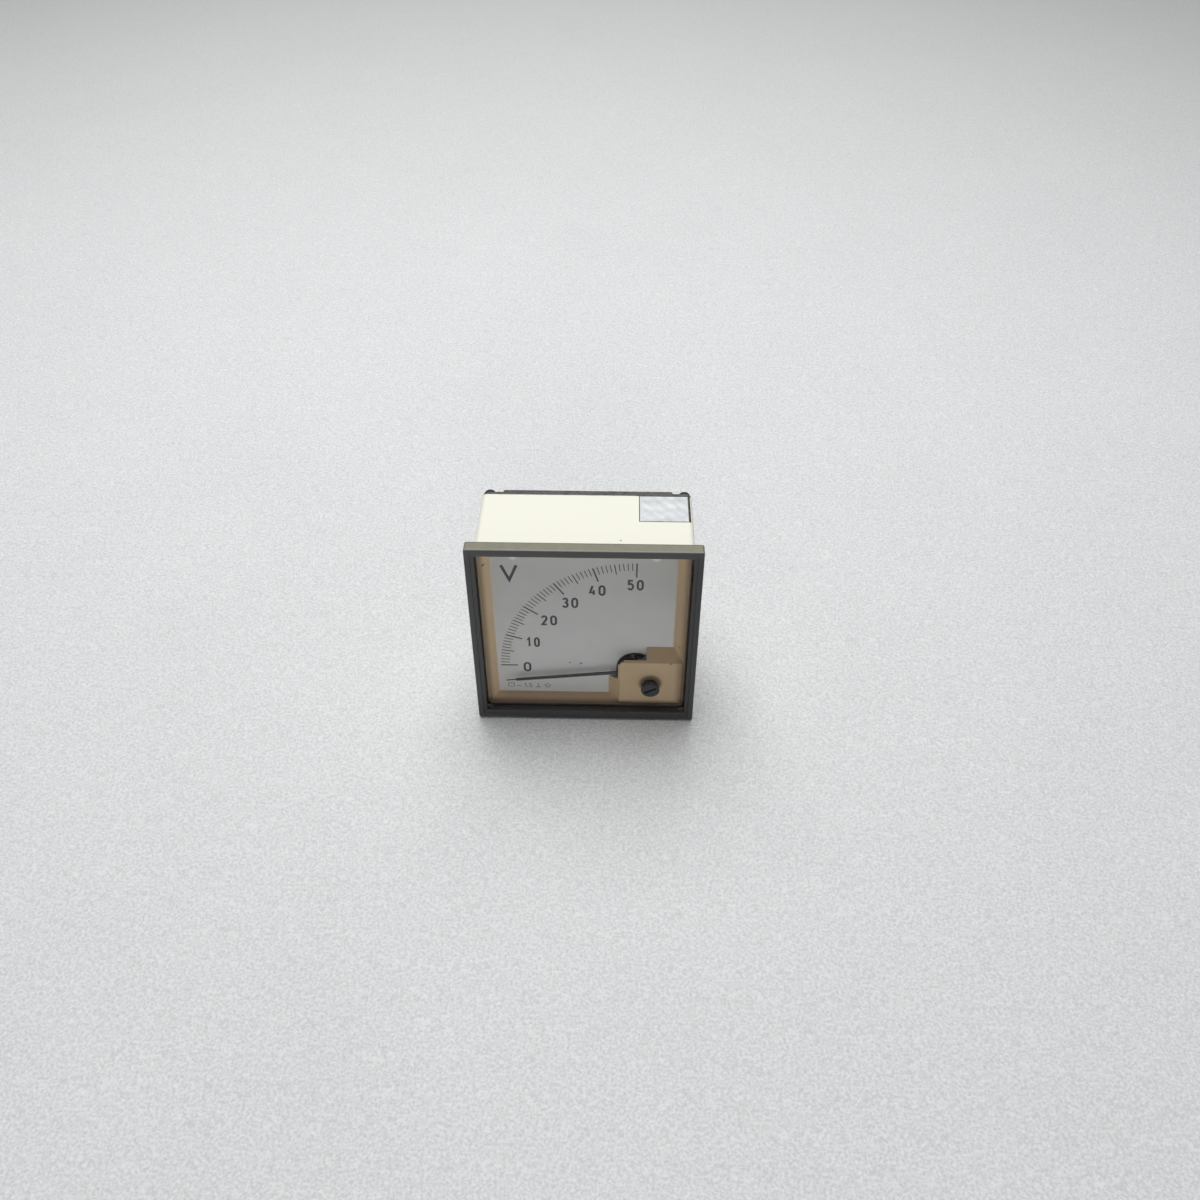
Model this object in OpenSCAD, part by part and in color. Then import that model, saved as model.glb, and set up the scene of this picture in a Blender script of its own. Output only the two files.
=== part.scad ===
// Square moving-coil panel meter with a quadrant scale and a corner pivot.
// Millimetres. X runs to the viewer's right, Y runs back through the panel, Z runs up.
// Depths are counted back from the front face of the frame, and the whole
// meter is centred on its depth at the end. The origin is at its base.

/* [Front frame] */
// Side of the square front frame
bezel_size = 72; // [71:0.5:76]
// Depth of the frame in front of the panel
bezel_depth = 4; // [3.9:0.1:5]
// Reach of the frame over the case on each side
overhang = 2.5; // [2.3:0.1:3.2]
// Width of the lip that holds the pane
lip_w = 0.5; // [0.4:0.05:0.7]
// Width of the flat outer rim of the border
rim_w = 1.6; // [1.2:0.1:2]
// Step down inside the flat rim
rim_step = 0.35; // [0.2:0.05:0.5]
// Fall of the inner border to its lip
lip_fall = 0.6; // [0.5:0.05:0.8]
// Depth of the glass behind the frame's front
glass_depth = 1.6; // [1.2:0.1:1.8]
// Radius of the frame's corners
bezel_corner = 0.8; // [0.4:0.1:1.5]
// Broken front edge of the frame
edge_break = 0.35; // [0.2:0.05:0.5]
// Length of the snap ribs inside the frame
snap_l = 20; // [12:1:30]
// Height of the snap ribs
snap_h = 0.25; // [0.15:0.05:0.3]

/* [Window] */
// Thickness of the pane
glass_t = 1.7; // [1.5:0.1:1.8]
// Play of the pane inside the frame
glass_play = 0.15; // [0.1:0.05:0.25]

/* [Case] */
// Depth of the case behind the front of the frame
case_depth = 32; // [31:0.5:36]
// Wall of the case
case_wall = 1.7; // [1.4:0.1:2]
// Thin wall at the mouth of the case, round the mask
mouth_wall = 0.7; // [0.6:0.05:0.9]
// Radius of the case's long corners
case_corner = 1.5; // [1:0.1:2.5]
// Play of the case inside the frame
case_play = 0.1; // [0.1:0.05:0.2]
// Distance of the corner screws from the case's sides
screw_inset = 2.3; // [2.2:0.1:3]
// Radius of the screw columns in the corners
column_r = 2.6; // [2.2:0.1:3]
// Width of the slots for the mounting clamps
clamp_slot_w = 7; // [5:0.5:9]
// Height of each clamp slot along the depth
clamp_slot_d = 2.4; // [2:0.1:3]
// Distance of the clamp slots from the back of the case
clamp_back = 11; // [8:0.5:14]
// Distance between the two clamp slots of one side
clamp_pitch = 32; // [20:1:40]
// Radius of the case's inner corners
inner_corner = 0.8; // [0.4:0.1:1.2]

/* [Mask] */
// Depth of the sloped mask between the glass and the dial
mask_depth = 4.2; // [4:0.1:4.6]
// Depth of the part of the mask that stands in the case mouth
mask_step = 2.7; // [2.4:0.1:3]
// Inset of the dial opening on the left
inset_left = 2.9; // [2.5:0.1:3.5]
// Inset of the dial opening on the right
inset_right = 3.5; // [3:0.1:4]
// Inset of the dial opening at the bottom and the top
inset_low = 1.5; // [1.2:0.1:2]
// Thickness of the mask's front edge
mask_edge = 0.4; // [0.3:0.05:0.6]
// Set-back of the corner block behind the glass
block_setback = 0.2; // [0.15:0.05:0.4]
// Thickness of the hood plate over the movement
hood_t = 0.7; // [0.6:0.05:0.8]
// Reach of the hood to the left of the pivot
hood_left = 4.7; // [4.6:0.1:5.4]
// Height of the hood above the pivot
hood_up = 5.5; // [5.4:0.1:6]
// Slope of the block's top and left side towards the dial
block_flare = 3.8; // [3:0.1:4]
// Start of the solid part of the block, right of the pivot
block_left = 3.9; // [3.6:0.1:4.4]
// Wall of the corner block
block_wall = 0.8; // [0.6:0.05:1]
// Radius of the hood's free corner
hood_corner = 1.2; // [0.6:0.1:1.6]

/* [Dial] */
// Thickness of the dial plate
dial_t = 0.5; // [0.4:0.05:0.7]
// Play of the dial plate inside the case
dial_play = 0.4; // [0.3:0.05:0.6]
// Distance of the scale's outer arc from the left edge of the dial
scale_margin = 3.2; // [2.9:0.1:6]
// Length of a main mark
main_tick = 5.6; // [5:0.1:6]
// Length of a middle mark
mid_tick = 4.1; // [3.6:0.1:4.6]
// Length of a small mark
small_tick = 2.9; // [2.4:0.1:3.3]
// Number of divisions on the scale
divisions = 50; // [30:10:60]
// Angle that the scale spans
scale_angle = 90; // [80:1:90]
// Height of the printed marks
ink_h = 0.05; // [0.03:0.01:0.08]
// Radius of the hole in the dial round the pivot
eye_r = 6.2; // [5.9:0.1:6.3]
// Offset of the hole from the pivot, to the right
eye_right = 0.35; // [0:0.05:0.5]
// Offset of the hole from the pivot, upwards
eye_up = 0.2; // [0:0.05:0.4]
// Distance of the upper dial pillars from the case's inner sides
pillar_in = 9.8; // [8:0.1:14]
// Distance of the upper dial pillars from the case's inner top
pillar_top = 3.2; // [2.6:0.1:5]

/* [Movement] */
// Distance of the pivot from the right side of the frame
pivot_right = 19.9; // [19.5:0.1:20.5]
// Height of the pivot above the bottom of the frame
pivot_up = 17.4; // [17:0.1:18]
// Radius of the core magnet
magnet_r = 6.5; // [6.2:0.1:6.7]
// Length of the core magnet
magnet_l = 11; // [9:0.5:11.5]
// Inner radius of the yoke ring
yoke_in_r = 9.3; // [9.2:0.05:9.5]
// Wall of the yoke ring
yoke_wall = 2.5; // [2:0.1:2.8]
// Gap between the magnet and the coil former
coil_gap = 0.5; // [0.4:0.05:0.6]
// Thickness of the coil former
former_t = 0.4; // [0.3:0.05:0.5]
// Height of the winding on the former
winding_t = 1; // [0.8:0.05:1.1]
// Width of the coil
coil_w = 4.4; // [3.6:0.1:4.6]
// Radius of the spindle
spindle_r = 0.6; // [0.5:0.05:0.7]
// Radius of the fine pivot tips
tip_r = 0.25; // [0.2:0.01:0.3]
// Running clearance of the pivot tips and of the zero lever
run_gap = 0.05; // [0.03:0.01:0.08]
// Radius of the jewel screws
jewel_r = 1.25; // [1.1:0.05:1.4]
// Thickness of the bridges
bridge_t = 0.8; // [0.6:0.05:0.9]
// Distance of the bridge posts from the pivot
post_r = 6.8; // [6.7:0.05:6.9]
// Radius of the bridge posts
post_rod_r = 0.9; // [0.8:0.05:0.95]
// Half angle of the ribs that hold the magnet
rib_angle = 10; // [8:1:11]

/* [Pointer] */
// Distance of the pointer's tip inside the scale's outer arc
tip_short = 1.2; // [0.6:0.1:4]
// Length of the fine needle at the pointer's end
needle_l = 3; // [2:0.1:6]
// Height of the pointer above the dial
pointer_gap = 2; // [1.9:0.05:2.1]
// Thickness of the pointer
pointer_t = 0.25; // [0.25:0.05:0.5]
// Width of the pointer at the hub
pointer_w = 1.4; // [1.2:0.1:1.8]
// Width of the pointer where the needle starts
blade_w = 1.1; // [0.6:0.1:1.4]
// Width of the needle
tip_w = 0.3; // [0.2:0.05:0.5]
// Distance of the tail weight from the pivot
tail_reach = 9.3; // [9:0.1:9.6]
// Length of the tail weight
tail_l = 4.8; // [3:0.1:5]
// Radius of the tail weight
tail_r = 0.8; // [0.6:0.05:0.8]
// Angle of the pointer below the zero mark when it rests on its stop
rest_drop = 6.8; // [5:0.1:7.5]
// Angle past the last mark at which the upper stop stands
over_travel = 5.7; // [4:0.1:6]

/* [Zero adjuster] */
// Distance of the adjuster to the right of the pivot
adjuster_right = 5.4; // [5.1:0.1:5.6]
// Distance of the adjuster below the pivot
adjuster_down = 4.3; // [4:0.1:4.5]
// Radius of the adjuster's head
adjuster_r = 3.05; // [2.6:0.05:3.2]
// Thickness of the adjuster's head
adjuster_head = 0.9; // [0.8:0.05:1.1]
// Radius of the adjuster's shank
shank_r = 1.9; // [1.6:0.05:2]
// Clearance of the shank in the pane
shank_gap = 0.1; // [0.06:0.01:0.1]
// Offset of the eccentric pin
eccentric = 0.9; // [0.7:0.05:1]
// Radius of the eccentric pin
pin_r = 0.5; // [0.4:0.05:0.6]
// Side clearance of the pin in the lever's fork
fork_gap = 0.12; // [0.1:0.01:0.2]
// Running clearance of the zero lever round the jewel screw
lever_gap = 0.08; // [0.05:0.01:0.1]
// Thickness of the zero lever
lever_t = 0.6; // [0.5:0.05:0.65]

/* [Carrier] */
// Thickness of the carrier plate
carrier_t = 1; // [0.8:0.1:1.4]
// Radius of the dial's pillars
pillar_r = 1.4; // [1.2:0.05:1.5]
// Radius of the posts that carry the plate
stalk_r = 2.5; // [2.2:0.1:2.8]
// Radius of the small fixing screws
fix_r = 0.8; // [0.7:0.05:0.9]

/* [Back cover] */
// Thickness of the cover's flange
flange_t = 1.6; // [1:0.1:2]
// Gap of the flange inside the outline of the case
flange_inset = 0.2; // [0.1:0.05:0.4]
// Inset of the raised back inside the case on each side
back_inset = 5.5; // [5.2:0.1:8]
// Depth of the raised back
back_depth = 8.5; // [8:0.1:12]
// Wall of the raised back
back_wall = 1.8; // [1.5:0.1:2.2]
// Radius of the raised back's corners
back_corner = 1; // [0.6:0.1:3]
// Radius of the cover screws' heads
head_r = 1.9; // [1.7:0.05:2]
// Height of the cover screws' heads
head_h = 1.5; // [1.2:0.1:1.8]

/* [Terminals] */
// Distance between the two terminals
terminal_pitch = 28; // [24:1:34]
// Height of the terminals above the bottom of the frame
terminal_up = 25; // [22:0.5:40]
// Radius of the terminal studs over their thread
stud_r = 2; // [1.95:0.05:2.2]
// Radius of the studs inside their nuts
stud_core = 1.8; // [1.7:0.02:1.84]
// Length of a stud behind the back
stud_l = 13; // [12.5:0.5:16]
// Width of the nuts across their flats
nut_flats = 7; // [6.5:0.5:8]
// Height of the nuts
nut_h = 3.2; // [2.4:0.1:3.2]
// Thickness of the flat washers
washer_t = 0.8; // [0.6:0.1:1]
// Radius of the flat washers
washer_r = 4.5; // [4:0.1:5]
// Thickness of the spring washers
spring_t = 0.9; // [0.7:0.1:1.1]
// Clearance of the nuts round a stud
stud_gap = 0.05; // [0.03:0.01:0.1]
// Clearance of the washers over the thread
washer_gap = 0.15; // [0.1:0.01:0.3]
// Broken edge of the nuts
nut_break = 0.35; // [0.2:0.05:0.5]

/* [Circuit board] */
// Width of the board
board_w = 26; // [24:1:30]
// Height of the board
board_h = 16; // [14:1:20]
// Height of the board's middle above the middle of the meter
board_up = 6; // [2:1:10]
// Distance of the board's middle to the left of the meter's
board_side = 11; // [8:1:13]
// Thickness of the board
board_t = 1.2; // [0.8:0.1:1.6]
// Distance between the two resistors
resistor_pitch = 8; // [6:0.5:10]

/* [Hidden] */
$fn = 48;

// Overshoot of a cut past a face
e = 0.02;
// Clearance of a screw's shank in its hole
hole_gap = 0.05;
// Small standing gap between plain neighbours
stand = 0.1;

// Heights and widths of the front
mid = bezel_size / 2;
case_half = mid - overhang;
rebate_half = case_half + case_play;
window_half = rebate_half - lip_w;
case_in = case_half - case_wall;
mouth_in = case_half - mouth_wall;
mask_half = mouth_in - stand;
mask_back_half = case_in - stand;

// Depths of the front stack
mask_y = glass_depth + glass_t;
dial_y = mask_y + mask_depth;
dial_back = dial_y + dial_t;
hood_y = mask_y + block_setback;
hood_back = hood_y + hood_t;

// The dial and its scale
dial_half = case_in - dial_play;
scale_r = mid - pivot_right + dial_half - scale_margin;
pointer_l = scale_r - tip_short;

// The pivot and the adjuster
pivot_x = mid - pivot_right;
pivot_z = pivot_up;
adjuster_x = pivot_x + adjuster_right;
adjuster_z = pivot_z - adjuster_down;
adjuster_reach = sqrt(pow(adjuster_right, 2) + pow(adjuster_down, 2));
adjuster_angle = -atan2(adjuster_down, adjuster_right);

// Angles are counted from the right, upwards. Zero lies to the left.
zero_angle = 180;
rest_angle = zero_angle + rest_drop;
top_angle = zero_angle - scale_angle - over_travel;
post_angle = (rest_angle + top_angle) / 2 - 90;

// Depths of the movement, front to back
bridge_y = dial_y - bridge_t - 0.5;
bridge_back = bridge_y + bridge_t;
lever_y = bridge_y - 0.15 - lever_t;
nut_t = 0.65;
front_nut_y = lever_y - stand - nut_t;
jewel_front = front_nut_y - 0.25;
jewel_back = bridge_back + 0.35;
jewel_bore = 1.05;
spring_y = jewel_back + 0.2;
spring_w = 0.35;
hub_y = dial_back + 0.3;
hub_t = 1.2;
spindle_base_t = 0.5;
coil_y = hub_y + hub_t + 0.4 + spindle_base_t;
coil_half = magnet_r + coil_gap;
end_gap = 0.6;
magnet_y = coil_y + winding_t + former_t + end_gap;
magnet_back = magnet_y + magnet_l;
coil_back = magnet_back + end_gap + former_t + winding_t;
rear_spring_y = coil_back + spindle_base_t + 0.45;
rear_bridge_y = rear_spring_y + spring_w + 0.6;
rear_bridge_back = rear_bridge_y + bridge_t;
rear_jewel_y = rear_bridge_y - 0.25;
rear_nut_y = rear_bridge_back + stand;
rear_jewel_back = rear_nut_y + nut_t + 1.2;
jewel_hole_r = jewel_r + hole_gap;
rib_in = magnet_r + run_gap;
rib_out = yoke_in_r - run_gap;
lug_in = post_r - 1.1;
yoke_out_r = yoke_in_r + yoke_wall;

// Hairsprings
hair_in = spindle_r + 0.15;
hair_out = 2.9;
hair_t = 0.12;
hair_turns = 3;
stud_in = hair_out + hair_t / 2 + 0.02;
stud_out = stud_in + 0.5;
lever_stud_angle = 300;

// The pointer and its crank
crank_in = 3.6;
crank_out = 4.4;
crank_w = 1.2;
pointer_back = dial_y - pointer_gap;
pointer_y = pointer_back - pointer_t;
arm_y = hub_y + 0.3;
arm_r = 0.28;
stop_w = 0.7;
stop_turn = (crank_w / 2 + stand + stop_w / 2) / ((crank_in + crank_out) / 2) * 180 / PI;

// Carrier, pillars and cover
carrier_y = magnet_back;
carrier_back = carrier_y + carrier_t;
cover_y = case_depth;
flange_back = cover_y + flange_t;
back_y = flange_back + back_depth;
back_in = back_y - back_wall;
back_half = case_half - back_inset;
stalk_at = back_half - 3;
stalks = [
  [-stalk_at, mid - stalk_at],
  [-stalk_at, mid + stalk_at],
  [stalk_at, mid + stalk_at],
  [pivot_x - 15, mid - stalk_at]
];
pillars = [
  [-case_in + pillar_in, mid + case_in - pillar_top],
  [case_in - pillar_in, mid + case_in - pillar_top],
  [pivot_x + 12.7, pivot_z + 5]
];
ears = [135, 315];
ear_r = 2.2;
ear_reach = yoke_out_r + 1.6;
ear_t = 4;
cover_screw = case_half - screw_inset;

// Terminals
stud_end = back_y + stud_l;
plus_x = terminal_pitch / 2;
minus_x = -terminal_pitch / 2;
base_washer_y = back_y;
base_nut_y = base_washer_y + washer_t;
flat_washer_y = base_nut_y + nut_h;
spring_washer_y = flat_washer_y + washer_t;
top_nut_y = spring_washer_y + spring_t;
stack_back = top_nut_y + nut_h;
stud_head_t = 2.4;
stud_head_y = back_in - stud_head_t;
tag_t = 0.5;
tag_y = stud_head_y - tag_t;
tag_hole_r = 1.3;

// Circuit board behind the carrier plate
board_x = [-board_side - board_w / 2, -board_side + board_w / 2];
board_z = [mid + board_up - board_h / 2, mid + board_up + board_h / 2];
board_y = carrier_back + 2;
board_back = board_y + board_t;
board_holes = [[board_x[0] + 3, mid + board_up], [board_x[1] - 3, mid + board_up]];
resistor_r = 1.2;
resistor_l = 6.5;
resistor_z = [mid + board_up - resistor_pitch / 2, mid + board_up + resistor_pitch / 2];
resistor_x = -board_side;
wire_r = 0.6;

total_depth = stud_end;

// A rod along Y between two depths
module rod(r, y0, y1) {
  translate([0, y0, 0])
    rotate([-90, 0, 0])
      cylinder(r = r, h = y1 - y0);
}

// A flat outline in X and Z, raised between two depths
module slab(y0, y1) {
  translate([0, y1, 0])
    rotate([90, 0, 0])
      linear_extrude(y1 - y0)
        children();
}

// A square outline centred on the meter, with round corners
module square_outline(half, corner) {
  translate([-half + corner, mid - half + corner])
    offset(r = corner)
      square(2 * (half - corner));
}

// A plain square block centred on the meter
module square_block(half, y0, y1) {
  translate([-half, y0, mid - half])
    cube([2 * half, y1 - y0, 2 * half]);
}

// A block between two corners
module box(low, high) {
  translate(low)
    cube(high - low);
}

// A straight loft from one rectangle [x0, z0, x1, z1] to another
module loft(front, y0, back, y1) {
  polyhedron(
    points = [
      [front[0], y0, front[1]], [front[2], y0, front[1]],
      [front[2], y0, front[3]], [front[0], y0, front[3]],
      [back[0], y1, back[1]], [back[2], y1, back[1]],
      [back[2], y1, back[3]], [back[0], y1, back[3]]
    ],
    faces = [
      [0, 3, 2, 1], [4, 5, 6, 7], [0, 1, 5, 4],
      [1, 2, 6, 5], [2, 3, 7, 6], [3, 0, 4, 7]
    ]
  );
}

function square_rect(half) = [-half, mid - half, half, mid + half];

// The rectangle of a loft at another depth
function slide(front, y0, back, y1, y) = front + (back - front) * (y - y0) / (y1 - y0);

// A turn in the plane of the dial, counted from the right, upwards
module turn(angle) {
  rotate([0, -angle, 0])
    children();
}

module at_pivot() {
  translate([pivot_x, 0, pivot_z])
    children();
}

module at_adjuster() {
  translate([adjuster_x, 0, adjuster_z])
    children();
}

// A place at a distance from the pivot
module out(angle, reach) {
  at_pivot()
    turn(angle)
      translate([reach, 0, 0])
        children();
}

module at_points(points) {
  for (p = points)
    translate([p[0], 0, p[1]])
      children();
}

module at_corners() {
  for (x = [-1, 1], z = [-1, 1])
    translate([x * cover_screw, 0, mid + z * cover_screw])
      children();
}

module at_terminals() {
  for (x = [minus_x, plus_x])
    translate([x, 0, terminal_up])
      children();
}

// A four-sided ring of copies round the middle of the square
module each_side() {
  for (a = [0:90:270])
    translate([0, 0, mid])
      rotate([0, a, 0])
        children();
}

// Cheese-head screw with a straight slot; the head lies in front of y
module screw(head, head_t, shank, length, y) {
  difference() {
    union() {
      rod(head, y - head_t, y);
      rod(shank, y - e, y + length);
    }
    box([-head, y - head_t - e, -0.16], [head, y - head_t * 0.55, 0.16]);
  }
}

// Hexagon nut round a hole
module nut(flats, hole, y0, y1) {
  corner = flats / sqrt(3) + 0.1;
  face = 0.95 * flats / 2;
  turned = nut_break * flats / nut_flats;
  h = y1 - y0;
  difference() {
    translate([0, y0, 0])
      rotate([-90, 0, 0])
        intersection() {
          cylinder(r = flats / sqrt(3), h = h, $fn = 6);
          rotate_extrude()
            polygon([
              [0, 0], [face, 0], [corner, turned],
              [corner, h - turned], [face, h], [0, h]
            ]);
        }
    rod(hole, y0 - e, y1 + e);
  }
}

module washer(outer, hole, y0, y1) {
  difference() {
    rod(outer, y0, y1);
    rod(hole, y0 - e, y1 + e);
  }
}

// A round wire through a list of points
module wire(points, r) {
  for (i = [0 : len(points) - 2]) {
    step = points[i + 1] - points[i];
    run = norm(step);
    translate(points[i])
      rotate([0, acos(step[2] / run), atan2(step[1], step[0])])
        cylinder(r = r, h = run, $fn = 24);
    if (i > 0)
      translate(points[i])
        sphere(r = r + 0.03, $fn = 24);
  }
}

// Moves a piece so that the meter is centred on its depth
module seat() {
  translate([0, -total_depth / 2, 0])
    children();
}

// Front frame: flat rim, a step, a sloped border and a rebate for the pane
module bezel_frame() {
  step_half = mid - rim_w;
  lip_half = step_half - 0.3;
  seat()
    color("dimgray")
      difference() {
        slab(0, bezel_depth)
          square_outline(mid, bezel_corner);
        each_side()
          rotate([90, 0, -90])
            linear_extrude(bezel_size + 2, center = true)
              polygon([
                [e, mid + e], [e, mid - edge_break],
                [-edge_break * 0.4, mid - edge_break * 0.4], [-edge_break, mid + e]
              ]);
        square_block(window_half, -e, bezel_depth + e);
        loft(square_rect(step_half + e), -e, square_rect(lip_half), rim_step);
        loft(square_rect(lip_half), rim_step - e, square_rect(window_half - e), lip_fall);
        slab(glass_depth, bezel_depth + e)
          square_outline(rebate_half, case_corner);
      }
  seat()
    color("dimgray")
      each_side()
        box(
          [-snap_l / 2, mask_y + stand, rebate_half - snap_h],
          [snap_l / 2, mask_y + stand + 0.4, rebate_half + e]
        );
}

module window_pane() {
  seat()
    color("white", 0.3)
      difference() {
        slab(glass_depth, mask_y)
          square_outline(rebate_half - glass_play, case_corner);
        at_adjuster()
          rod(shank_r + shank_gap, glass_depth - e, mask_y + e);
      }
}

// Open-ended case with a thin mouth, corner columns and clamp slots
module case_shell() {
  seat()
    color("ivory")
      difference() {
        union() {
          difference() {
            slab(mask_y, case_depth)
              square_outline(case_half, case_corner);
            slab(mask_y - e, mask_y + mask_step)
              square_outline(mouth_in, inner_corner);
            slab(mask_y, case_depth + e)
              square_outline(case_in, inner_corner);
          }
          intersection() {
            slab(mask_y + 8, case_depth)
              square_outline(case_half - 0.3, case_corner);
            at_corners()
              rod(column_r, dial_back + 6, case_depth);
          }
          each_side()
            for (x = [-18, 18])
              loft(
                [x - 3, case_in - 1, x + 3, case_in + 0.5], dial_back + 0.05,
                [x - 3, case_in - 0.05, x + 3, case_in + 0.5], dial_back + 5
              );
        }
        at_corners()
          rod(fix_r + hole_gap, case_depth - 8, case_depth + e);
        for (s = [-1, 1], z = [-clamp_pitch / 2, clamp_pitch / 2])
          translate([s * case_half, case_depth - clamp_back, mid + z])
            box([-3, 0, -clamp_slot_w / 2], [3, clamp_slot_d, clamp_slot_w / 2]);
        each_side()
          box(
            [-snap_l / 2 - 0.2, mask_y + stand - 0.05, case_half - snap_h],
            [snap_l / 2 + 0.2, mask_y + stand + 0.45, case_half + e]
          );
      }
}

// Sloped picture-frame mask with the hooded corner block over the movement
module dial_mask() {
  front_open = square_rect(mask_half - mask_edge);
  back_open = front_open + [inset_left, inset_low, -inset_right, -inset_low];
  open_front = slide(front_open, mask_y, back_open, dial_y, mask_y - e);
  open_back = slide(front_open, mask_y, back_open, dial_y, dial_y + e);
  hood_x = pivot_x - hood_left;
  hood_z = pivot_z + hood_up;
  solid_x = pivot_x + block_left;
  foot = mid - mask_back_half;
  side = mask_back_half;
  block_front = [hood_x, foot, side, hood_z];
  block_back = block_front + [-block_flare, 0, 0, block_flare - stand];
  inner_front = block_front + [block_wall, 1, -0.5, -block_wall];
  inner_back = block_back + [block_wall + stand, 1.1, -0.5, -block_wall];
  inner_y = hood_back + stand;
  cheek_z = hood_z + 1;
  corner_x = hood_x + hood_corner;
  corner_z = hood_z - hood_corner;
  seat()
    color("tan")
      difference() {
        union() {
          difference() {
            union() {
              slab(mask_y, mask_y + mask_step)
                square_outline(mask_half, inner_corner);
              slab(mask_y + mask_step - e, dial_y)
                square_outline(mask_back_half, inner_corner);
            }
            loft(open_front, mask_y - e, open_back, dial_y + e);
          }
          loft(block_front, hood_y, block_back, dial_y);
        }
        intersection() {
          loft(
            slide(inner_front, hood_y, inner_back, dial_y, inner_y), inner_y,
            slide(inner_front, hood_y, inner_back, dial_y, dial_y + e), dial_y + e
          );
          union() {
            box([-mid, mask_y, 0], [mid, dial_y + 1, cheek_z]);
            box([solid_x + block_wall, mask_y, 0], [mid, dial_y + 1, bezel_size]);
          }
        }
        translate([solid_x, 0, 0])
          rotate([90, 0, -90])
            linear_extrude(solid_x - hood_x + block_flare + 1)
              polygon([
                [-hood_back, pivot_z - 2.5],
                [-dial_y - e, pivot_z - 4.3],
                [-dial_y - e, bezel_size / 2],
                [-hood_back, bezel_size / 2]
              ]);
        slab(hood_y - e, hood_back + e)
          difference() {
            translate([hood_x - 2, corner_z])
              square([2 + hood_corner, hood_corner + 2]);
            translate([corner_x, corner_z])
              circle(hood_corner);
          }
        at_adjuster()
          rod(shank_r + 2 * shank_gap, hood_y - e, hood_back + 1);
      }
}

// Length of the scale mark at one division
function tick_l(i) = i % 10 == 0 ? main_tick : (i % 5 == 0 ? mid_tick : small_tick);

// Width of the scale mark at one division
function tick_w(i) = i % 10 == 0 ? 0.45 : (i % 5 == 0 ? 0.32 : 0.26);

// Painted plate with its raised scale marks and an opening for the movement
module dial_plate() {
  half = dial_half;
  seat()
    color("whitesmoke")
      difference() {
        union() {
          square_block(half, dial_y, dial_back);
          for (i = [0 : divisions])
            at_pivot()
              turn(zero_angle - i * scale_angle / divisions)
                box(
                  [scale_r - tick_l(i), dial_y - ink_h, -tick_w(i) / 2],
                  [scale_r, dial_y + ink_h, tick_w(i) / 2]
                );
        }
        translate([pivot_x + eye_right, 0, pivot_z + eye_up])
          rod(eye_r, dial_y - e, dial_back + e);
        box(
          [pivot_x + eye_right - eye_r, dial_y - e, mid - half - 1],
          [mid, dial_back + e, pivot_z + eye_up]
        );
        out(post_angle, post_r)
          rod(post_rod_r + 0.3, dial_y - e, dial_back + e);
        at_points(pillars)
          rod(fix_r + hole_gap, dial_y - e, dial_back + e);
      }
}

module dial_screws() {
  seat()
    color("silver")
      at_points(pillars)
        screw(1.5, 0.7, fix_r, dial_t + 3, dial_y);
}

// Turned pillars between the carrier plate and the dial
module dial_pillars() {
  seat()
    color("goldenrod")
      at_points(pillars)
        difference() {
          rod(pillar_r, dial_back, carrier_y);
          rod(fix_r + hole_gap, dial_back - e, dial_back + 4);
          rod(fix_r + hole_gap, carrier_y - 4, carrier_y + e);
        }
}

// Flat plate that carries the movement, the dial and the circuit board
module carrier_plate() {
  low = mid - back_half + 0.5;
  high = mid + case_in - 1.3;
  seat()
    color("silver")
      difference() {
        slab(carrier_y, carrier_back)
          polygon([
            [-back_half, low], [-back_half, high], [back_half, high],
            [back_half, pivot_z + 18], [mid - 6, pivot_z + 12],
            [mid - 6, pivot_z - 7], [mid - 8.5, pivot_z - 11],
            [pivot_x - 8, pivot_z - 11]
          ]);
        at_pivot()
          rod(yoke_in_r + 0.2, carrier_y - e, carrier_back + e);
        at_points(stalks)
          rod(fix_r + hole_gap, carrier_y - e, carrier_back + e);
        at_points(pillars)
          rod(fix_r + hole_gap, carrier_y - e, carrier_back + e);
        at_points(board_holes)
          rod(fix_r + hole_gap, carrier_y - e, carrier_back + e);
        for (a = ears)
          out(a, ear_reach)
            rod(fix_r + hole_gap, carrier_y - e, carrier_back + e);
        slab(carrier_y - e, carrier_back + e)
          translate([-20, 22])
            offset(r = 2)
              square([14, 8]);
      }
}

module carrier_screws() {
  seat()
    color("silver") {
      at_points(stalks)
        screw(1.5, 0.9, fix_r, carrier_t + 5, carrier_y);
      at_points(pillars)
        mirror([0, 1, 0])
          screw(1.5, 0.9, fix_r, carrier_t + 3, -carrier_back);
    }
}

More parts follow.
